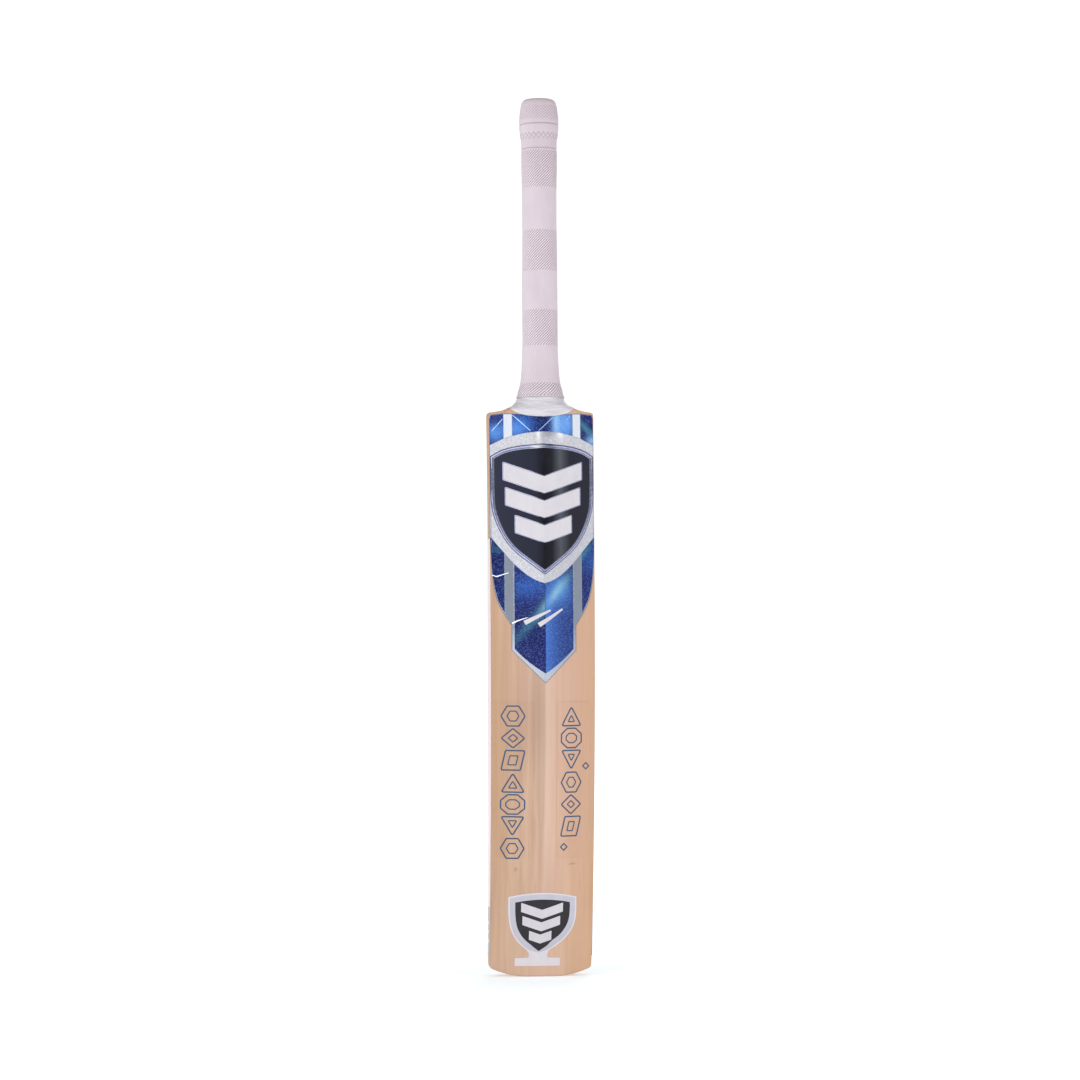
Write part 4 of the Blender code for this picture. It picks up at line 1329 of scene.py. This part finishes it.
# Chevrons of the badge: (height of the tip above its foot, half width, rise)
BADGE_CHEVRONS = ((79, 38, 13.5), (55, 36, 12.8), (31, 27, 9.6))
CHEVRON_THICKNESS = 16.5
# Lowest and highest face of the badge's plate, its chevrons, their outlines and the dark line round the rim
BADGE_PLATE = (0.28, 0.95)
BADGE_RAISED = (0.95, 1.3)
CHEVRON_LINE = (0.95, 1.12)
OUTER_LINE = (0.28, 0.53)
# Section of the badge's rim: (inset, lift)
RIM_WIDTH = 3.6
RIM_SECTION = (
    (0, 0.28), (0.1, 0.9), (0.5, 1.3), (1.2, 1.45), (1.9, 1.2), (2.3, 0.95), (3.0, 1.25), (RIM_WIDTH, 1.0),
    (RIM_WIDTH, 0.28),
)


def plate_corners(low, high):
    """Badge outline: a flat-sided plate, rounded towards a point at its foot, with a shallow peak."""
    half, foot, top = high.x, low.z, high.z
    side = [(0.0, foot), (16, foot + 12.5), (28, foot + 22.5), (37.5, foot + 34.5), (45, foot + 50)]
    side += [(half - 0.9, foot + 66), (half, foot + 88)]
    brow = [(half, top - 12), (39, top - 5.8), (23, top - 2), (0.0, top)]
    return mirrored(curve(side) + curve(brow))


def make_badge():
    """Dark plate in a chrome rim, with three raised chevrons that have thin chrome outlines."""
    low, high = box_mm("badge")
    corners = plate_corners(low, high)
    piece("badge_rim", rim(back_sheet, corners, RIM_SECTION, 1.8), "badge_chrome")
    outer_line = stroke(back_sheet, inwards(corners, -0.45), 0.45, *OUTER_LINE, 2.2)
    piece("badge_outer_line", outer_line, "badge_black")
    plate = shrunk(corners, RIM_WIDTH - 0.05)
    laid("badge_plate", [plate], BADGE_PLATE, "badge_black", "badge_plastic", ["badge"], radius=0.5)
    shapes = [chevron(low.z + up, half, rise, CHEVRON_THICKNESS) for up, half, rise in BADGE_CHEVRONS]
    laid("badge_chevrons", shapes, BADGE_RAISED, "emblem_white", "badge_plastic", radius=1.0, bevel=0.2)
    outlines = [stroke(back_sheet, inwards(s, -0.7), 0.45, *CHEVRON_LINE, 1.2) for s in shapes]
    piece("badge_chevron_lines", joined(outlines), "badge_chrome")


LOWER_BROW = [(33.5, 79.5), (18, 82.6), (0.0, 84), (-18, 82.6), (-33.5, 79.5)]
LOWER_RIGHT = [(14.2, 31), (22.8, 38), (30.3, 49), (33.4, 61.3), (33.5, 79.5)]
LOWER_LEFT = [(-33.5, 79.5), (-33, 60), (-30.3, 46.2), (-23.9, 35), (-14.7, 26.5)]
# Strip under the shield and the neck between them, in two runs: up the neck's right side, down its left one
LOWER_FOOT = [(-26.2, 10.8), (18.4, 10.8), (18.4, 18.8), (5.8, 19.3), (5.6, 22.5), (6.8, 26)]
LOWER_NECK = [(-12.4, 23.3), (-12.8, 19.3), (-26.2, 18.8)]
LOWER_BAND = [(1.5, 0.28), (1.5, 0.38), (6.8, 0.38), (6.8, 0.28)]
# Chevrons of the lower sticker: (height of the tip, half width, rise, thickness, middle)
LOWER_CHEVRONS = ((58, 20.5, 7, 9, -0.5), (45.5, 18.5, 6.4, 9, -1), (33.2, 11, 3.9, 9, -1.8))


def lower_shield(*tip):
    """Shield of the lower sticker with a tip of its own: its lowest point and perhaps one more."""
    right = curve([*tip, *LOWER_RIGHT])[:-1]
    return right + curve(LOWER_BROW)[:-1] + curve(LOWER_LEFT + [tip[0]])[:-1]


def make_lower_sticker():
    """Small shield over a blank name strip; its foot and the strip sit a little to the left."""
    body = curve(LOWER_RIGHT)[:-1] + curve(LOWER_BROW)[:-1] + curve(LOWER_LEFT)
    laid("lower_sticker_film", [LOWER_FOOT + body + LOWER_NECK], FILM, "label_white", "silver_film",
         ["lower_back_sticker"], radius=1.0)
    band = rim(back_sheet, lower_shield((-3.4, 22.6), (6.8, 26)), LOWER_BAND, 1.5)
    piece("lower_sticker_band", band, "label_grey")
    plate = shrunk(lower_shield((-3.4, 17.4), (8.6, 25.4)), 6.7)
    laid("lower_sticker_plate", [plate], LABEL_PLATE, "label_black", "badge_plastic", radius=0.6)
    shapes = [chevron(*sizes) for sizes in LOWER_CHEVRONS]
    laid("lower_sticker_chevrons", shapes, LABEL_CHEVRON, "emblem_white", "silver_film", radius=0.5)


# Plain outlined shapes, in turn: corners, share of the width, half height, first corner's angle, shift up
# and inset of the inner line. A shape without corners is the slanted block.
SHAPE_KINDS = (
    (6, 1.0, 12, 0, 0, 5.0),
    (4, 1.0, 10.4, 0, 0, 4.4),
    (0, 1.0, 10.2, 0, 0, 5.2),
    (3, 1.155, 13.6, 90, -3.4, 4.0),
    (8, 1.08, 11, 22.5, 0, 5.0),
    (3, 1.155, 13.6, -90, 3.4, 4.0),
)
SHAPE_PITCH = 21.6
BLOCK_SLANT = 4.5


def slanted_block(centre, across, tall):
    """Block whose sides lean to the right."""
    x, z = centre
    slant = across - BLOCK_SLANT
    return [(x - across, z - tall), (x + slant, z - tall), (x + across, z + tall), (x - slant, z + tall)]


def outlined_shapes(middle, across, first_kind, count):
    """Outlines of the plain shapes down one side of the blade, from the top: (polygon, inner inset)."""
    top = box_mm("right_outline_decal")[1].z - 13.8
    shapes = []
    for k in range(count):
        sides, stretch, tall, turn, shift, inset = SHAPE_KINDS[(k + first_kind) % len(SHAPE_KINDS)]
        centre = (middle, top - SHAPE_PITCH * k + shift)
        if sides:
            shapes.append((regular(centre, sides, across * stretch, tall, turn), inset))
        else:
            shapes.append((slanted_block(centre, across, tall), inset))
    return shapes


def make_outline_decals():
    """Clear film over each flank, printed with a column of outlined shapes."""
    columns = {"right": outlined_shapes(26.4, 11.0, 3, 6), "left": outlined_shapes(-30.5, 12.0, 0, 7)}
    for side, shapes in columns.items():
        node = side + "_outline_decal"
        low, high = box_mm(node)
        panel = [(low.x, low.z), (high.x, low.z), (high.x, high.z), (low.x, high.z)]
        laid(side + "_decal_film", [panel], CLEAR_FILM, "willow_under_film", "clear_film", [node],
             radius=1.0)
        lines = []
        for corners, inset in shapes:
            lines.append(stroke(back_sheet, corners, 1.35, *DECAL_INK, 2.2))
            lines.append(stroke(back_sheet, inwards(corners, inset), 1.15, *DECAL_INK, 1.4))
        if side == "right":
            for centre, reach in (((19.6, low.z + 11), 4.2), ((41.5, high.z - 63), 4.0)):
                lines.append(stroke(back_sheet, regular(centre, 4, reach, reach), 1.2, *DECAL_INK, 0.8))
        piece(side + "_decal_shapes", joined(lines), "decal_ink")


# ---------------------------------------------------------------- stickers on the edges and the face

EDGE_BLOCK_HEIGHT = 49
EDGE_COLUMNS = [-12 + 2 * k for k in range(13)]
FACE_COLUMNS = [-30 + 3 * k for k in range(21)]


def edge_strip(heights, margin=0.2):
    """Polygon over an edge's full depth, but for a margin, through some heights."""
    right = [(edge_span(z / 1000)[1] * 1000 - margin, z) for z in heights]
    return right + [(-u, z) for u, z in reversed(right)]


def make_edge_stickers():
    """White strip up each edge, with a grey-blue block and three chevrons at its lower end."""
    for name, side in (("right_edge", 1), ("left_edge", -1)):
        low, high = box_mm(name + "_sticker")
        stations = even(low.z, high.z, 40)
        split = low.z + EDGE_BLOCK_HEIGHT
        block = [edge_strip([z for z in stations if z < split] + [split])]
        white = [edge_strip([split] + [z for z in stations if z > split])]
        marks = [chevron(low.z + 12 + 9 * k, 6, 3, 3) for k in range(3)]
        fine = {"surface": edge_sheet(side), "columns": EDGE_COLUMNS, "rows": 3}
        wide = fine | {"rows": 5, "step": 3}
        laid(name + "_strip", white, FILM, "edge_white", "edge_film", [name + "_sticker"], **wide)
        laid(name + "_block", block, FILM, "edge_grey", "edge_film", **wide)
        laid(name + "_chevrons", marks, PRINT, "edge_white", "edge_film", radius=0.3, **fine)


def make_face_sticker():
    """Silver film with a dark panel and four chevrons."""
    low, high = box_mm("face_sticker")
    half = high.x
    corners = mirrored([(0.0, low.z), (half, low.z + half), (half, high.z), (0.0, high.z)])
    shapes = [chevron(low.z + 30 + 17 * k, 20, 8, 9) for k in range(4)]
    grid = {"surface": face_sheet, "columns": FACE_COLUMNS}
    laid("face_sticker_film", [corners], FILM, "silver_glitter", "silver_film", ["face_sticker"],
         radius=1.5, **grid)
    laid("face_sticker_panel", [inwards(corners, 3.0)], PRINT, "badge_black", "badge_plastic",
         radius=0.8, **grid)
    laid("face_sticker_chevrons", shapes, OVERPRINT, "emblem_white", "silver_film", radius=0.5, **grid)


# ---------------------------------------------------------------- carried-over CAD parts


def dress_cad_parts():
    """Cane, springs and twine stay as the CAD makes them, with finishes of their own."""
    looks = {"cane_slip": "cane", "spring_strip": "spring_rubber", "twine_band": "twine"}
    for name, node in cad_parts.items():
        for start, finish in looks.items():
            if name.startswith(start):
                node.data.materials.clear()
                node.data.materials.append(finishes[finish])


# ---------------------------------------------------------------- studio

WHITE = (1, 1, 1, 1)
FLOOR_SIZE = 6.0
FLOOR_COLOUR = (0.8, 0.88, 0.93, 1)
CAMERA_YAW = math.radians(6.5)
CAMERA_DISTANCE = 3.9
CAMERA_LENS = 131.9
AIM_RIGHT, AIM_DROP = 0.0005, 0.0032


def make_floor():
    """White floor that glows more away from the bat, so that only the contact shadow shows."""
    f = Finish("studio_floor")
    shader = f.nodes["Principled BSDF"]
    away = f.add("ShaderNodeVectorMath", f.place, operation="LENGTH").outputs["Value"]
    look = {"Base Color": FLOOR_COLOUR, "Roughness": 0.9, "Specular IOR Level": 0.0, "Emission Color": WHITE,
            "Emission Strength": f.spread(away, 0.06, 0.6, 0.42, 0.8)}
    for key, value in look.items():
        f.feed(shader.inputs[key], value)
    data = bpy.data.meshes.new("studio_floor")
    corners = [(x * FLOOR_SIZE, y * FLOOR_SIZE, 0) for x, y in ((-1, -1), (1, -1), (1, 1), (-1, 1))]
    data.from_pydata(corners, [], [(0, 1, 2, 3)])
    data.materials.append(f.material)
    floor = bpy.data.objects.new("studio_floor", data)
    bpy.context.scene.collection.objects.link(floor)


def make_world():
    """Soft white light all round; the camera sees plain white."""
    world = bpy.context.scene.world = bpy.data.worlds.new("studio")
    world.use_nodes = True
    nodes, links = world.node_tree.nodes, world.node_tree.links
    nodes.clear()
    mix = nodes.new("ShaderNodeMixShader")
    for socket, strength in ((1, 0.5), (2, 1.1)):
        light = nodes.new("ShaderNodeBackground")
        light.inputs["Color"].default_value = WHITE
        light.inputs["Strength"].default_value = strength
        links.new(light.outputs[0], mix.inputs[socket])
    links.new(nodes.new("ShaderNodeLightPath").outputs["Is Camera Ray"], mix.inputs[0])
    links.new(mix.outputs[0], nodes.new("ShaderNodeOutputWorld").inputs[0])


def area_light(name, place, aim_height, size, size_y, power):
    data = bpy.data.lights.new(name, "AREA")
    data.shape = "RECTANGLE"
    data.size = size
    data.size_y = size_y
    data.energy = power
    light = bpy.data.objects.new(name, data)
    light.location = place
    light.rotation_euler = (Vector((0, 0, aim_height)) - Vector(place)).to_track_quat("-Z", "Y").to_euler()
    bpy.context.scene.collection.objects.link(light)


def make_camera():
    """Level with the middle of the bat, a little to the left of straight behind it."""
    low, high = cad_bounds
    aim = Vector((AIM_RIGHT, 0.0, (low.z + high.z) / 2 - AIM_DROP))
    data = bpy.data.cameras.new("camera")
    data.lens = CAMERA_LENS
    data.sensor_width = 36
    camera = bpy.data.objects.new("camera", data)
    camera.location = aim - CAMERA_DISTANCE * Vector((math.sin(CAMERA_YAW), math.cos(CAMERA_YAW), 0))
    camera.rotation_euler = (math.radians(90), 0, -CAMERA_YAW)
    bpy.context.scene.collection.objects.link(camera)
    bpy.context.scene.camera = camera


def make_studio():
    make_floor()
    make_world()
    area_light("key", (-1.9, -2.2, 1.3), 0.45, 1.4, 1.8, 21.5)
    area_light("fill", (2.0, -1.9, 1.0), 0.4, 1.4, 1.8, 11.5)
    area_light("back", (0.8, 2.4, 1.6), 0.5, 1.6, 1.6, 18)
    make_camera()
    bpy.context.scene.view_settings.view_transform = "Standard"


def main():
    make_finishes()
    make_blade()
    make_grip()
    make_neck_tape()
    make_main_sticker()
    make_badge()
    make_lower_sticker()
    make_outline_decals()
    make_edge_stickers()
    make_face_sticker()
    dress_cad_parts()
    make_studio()


main()
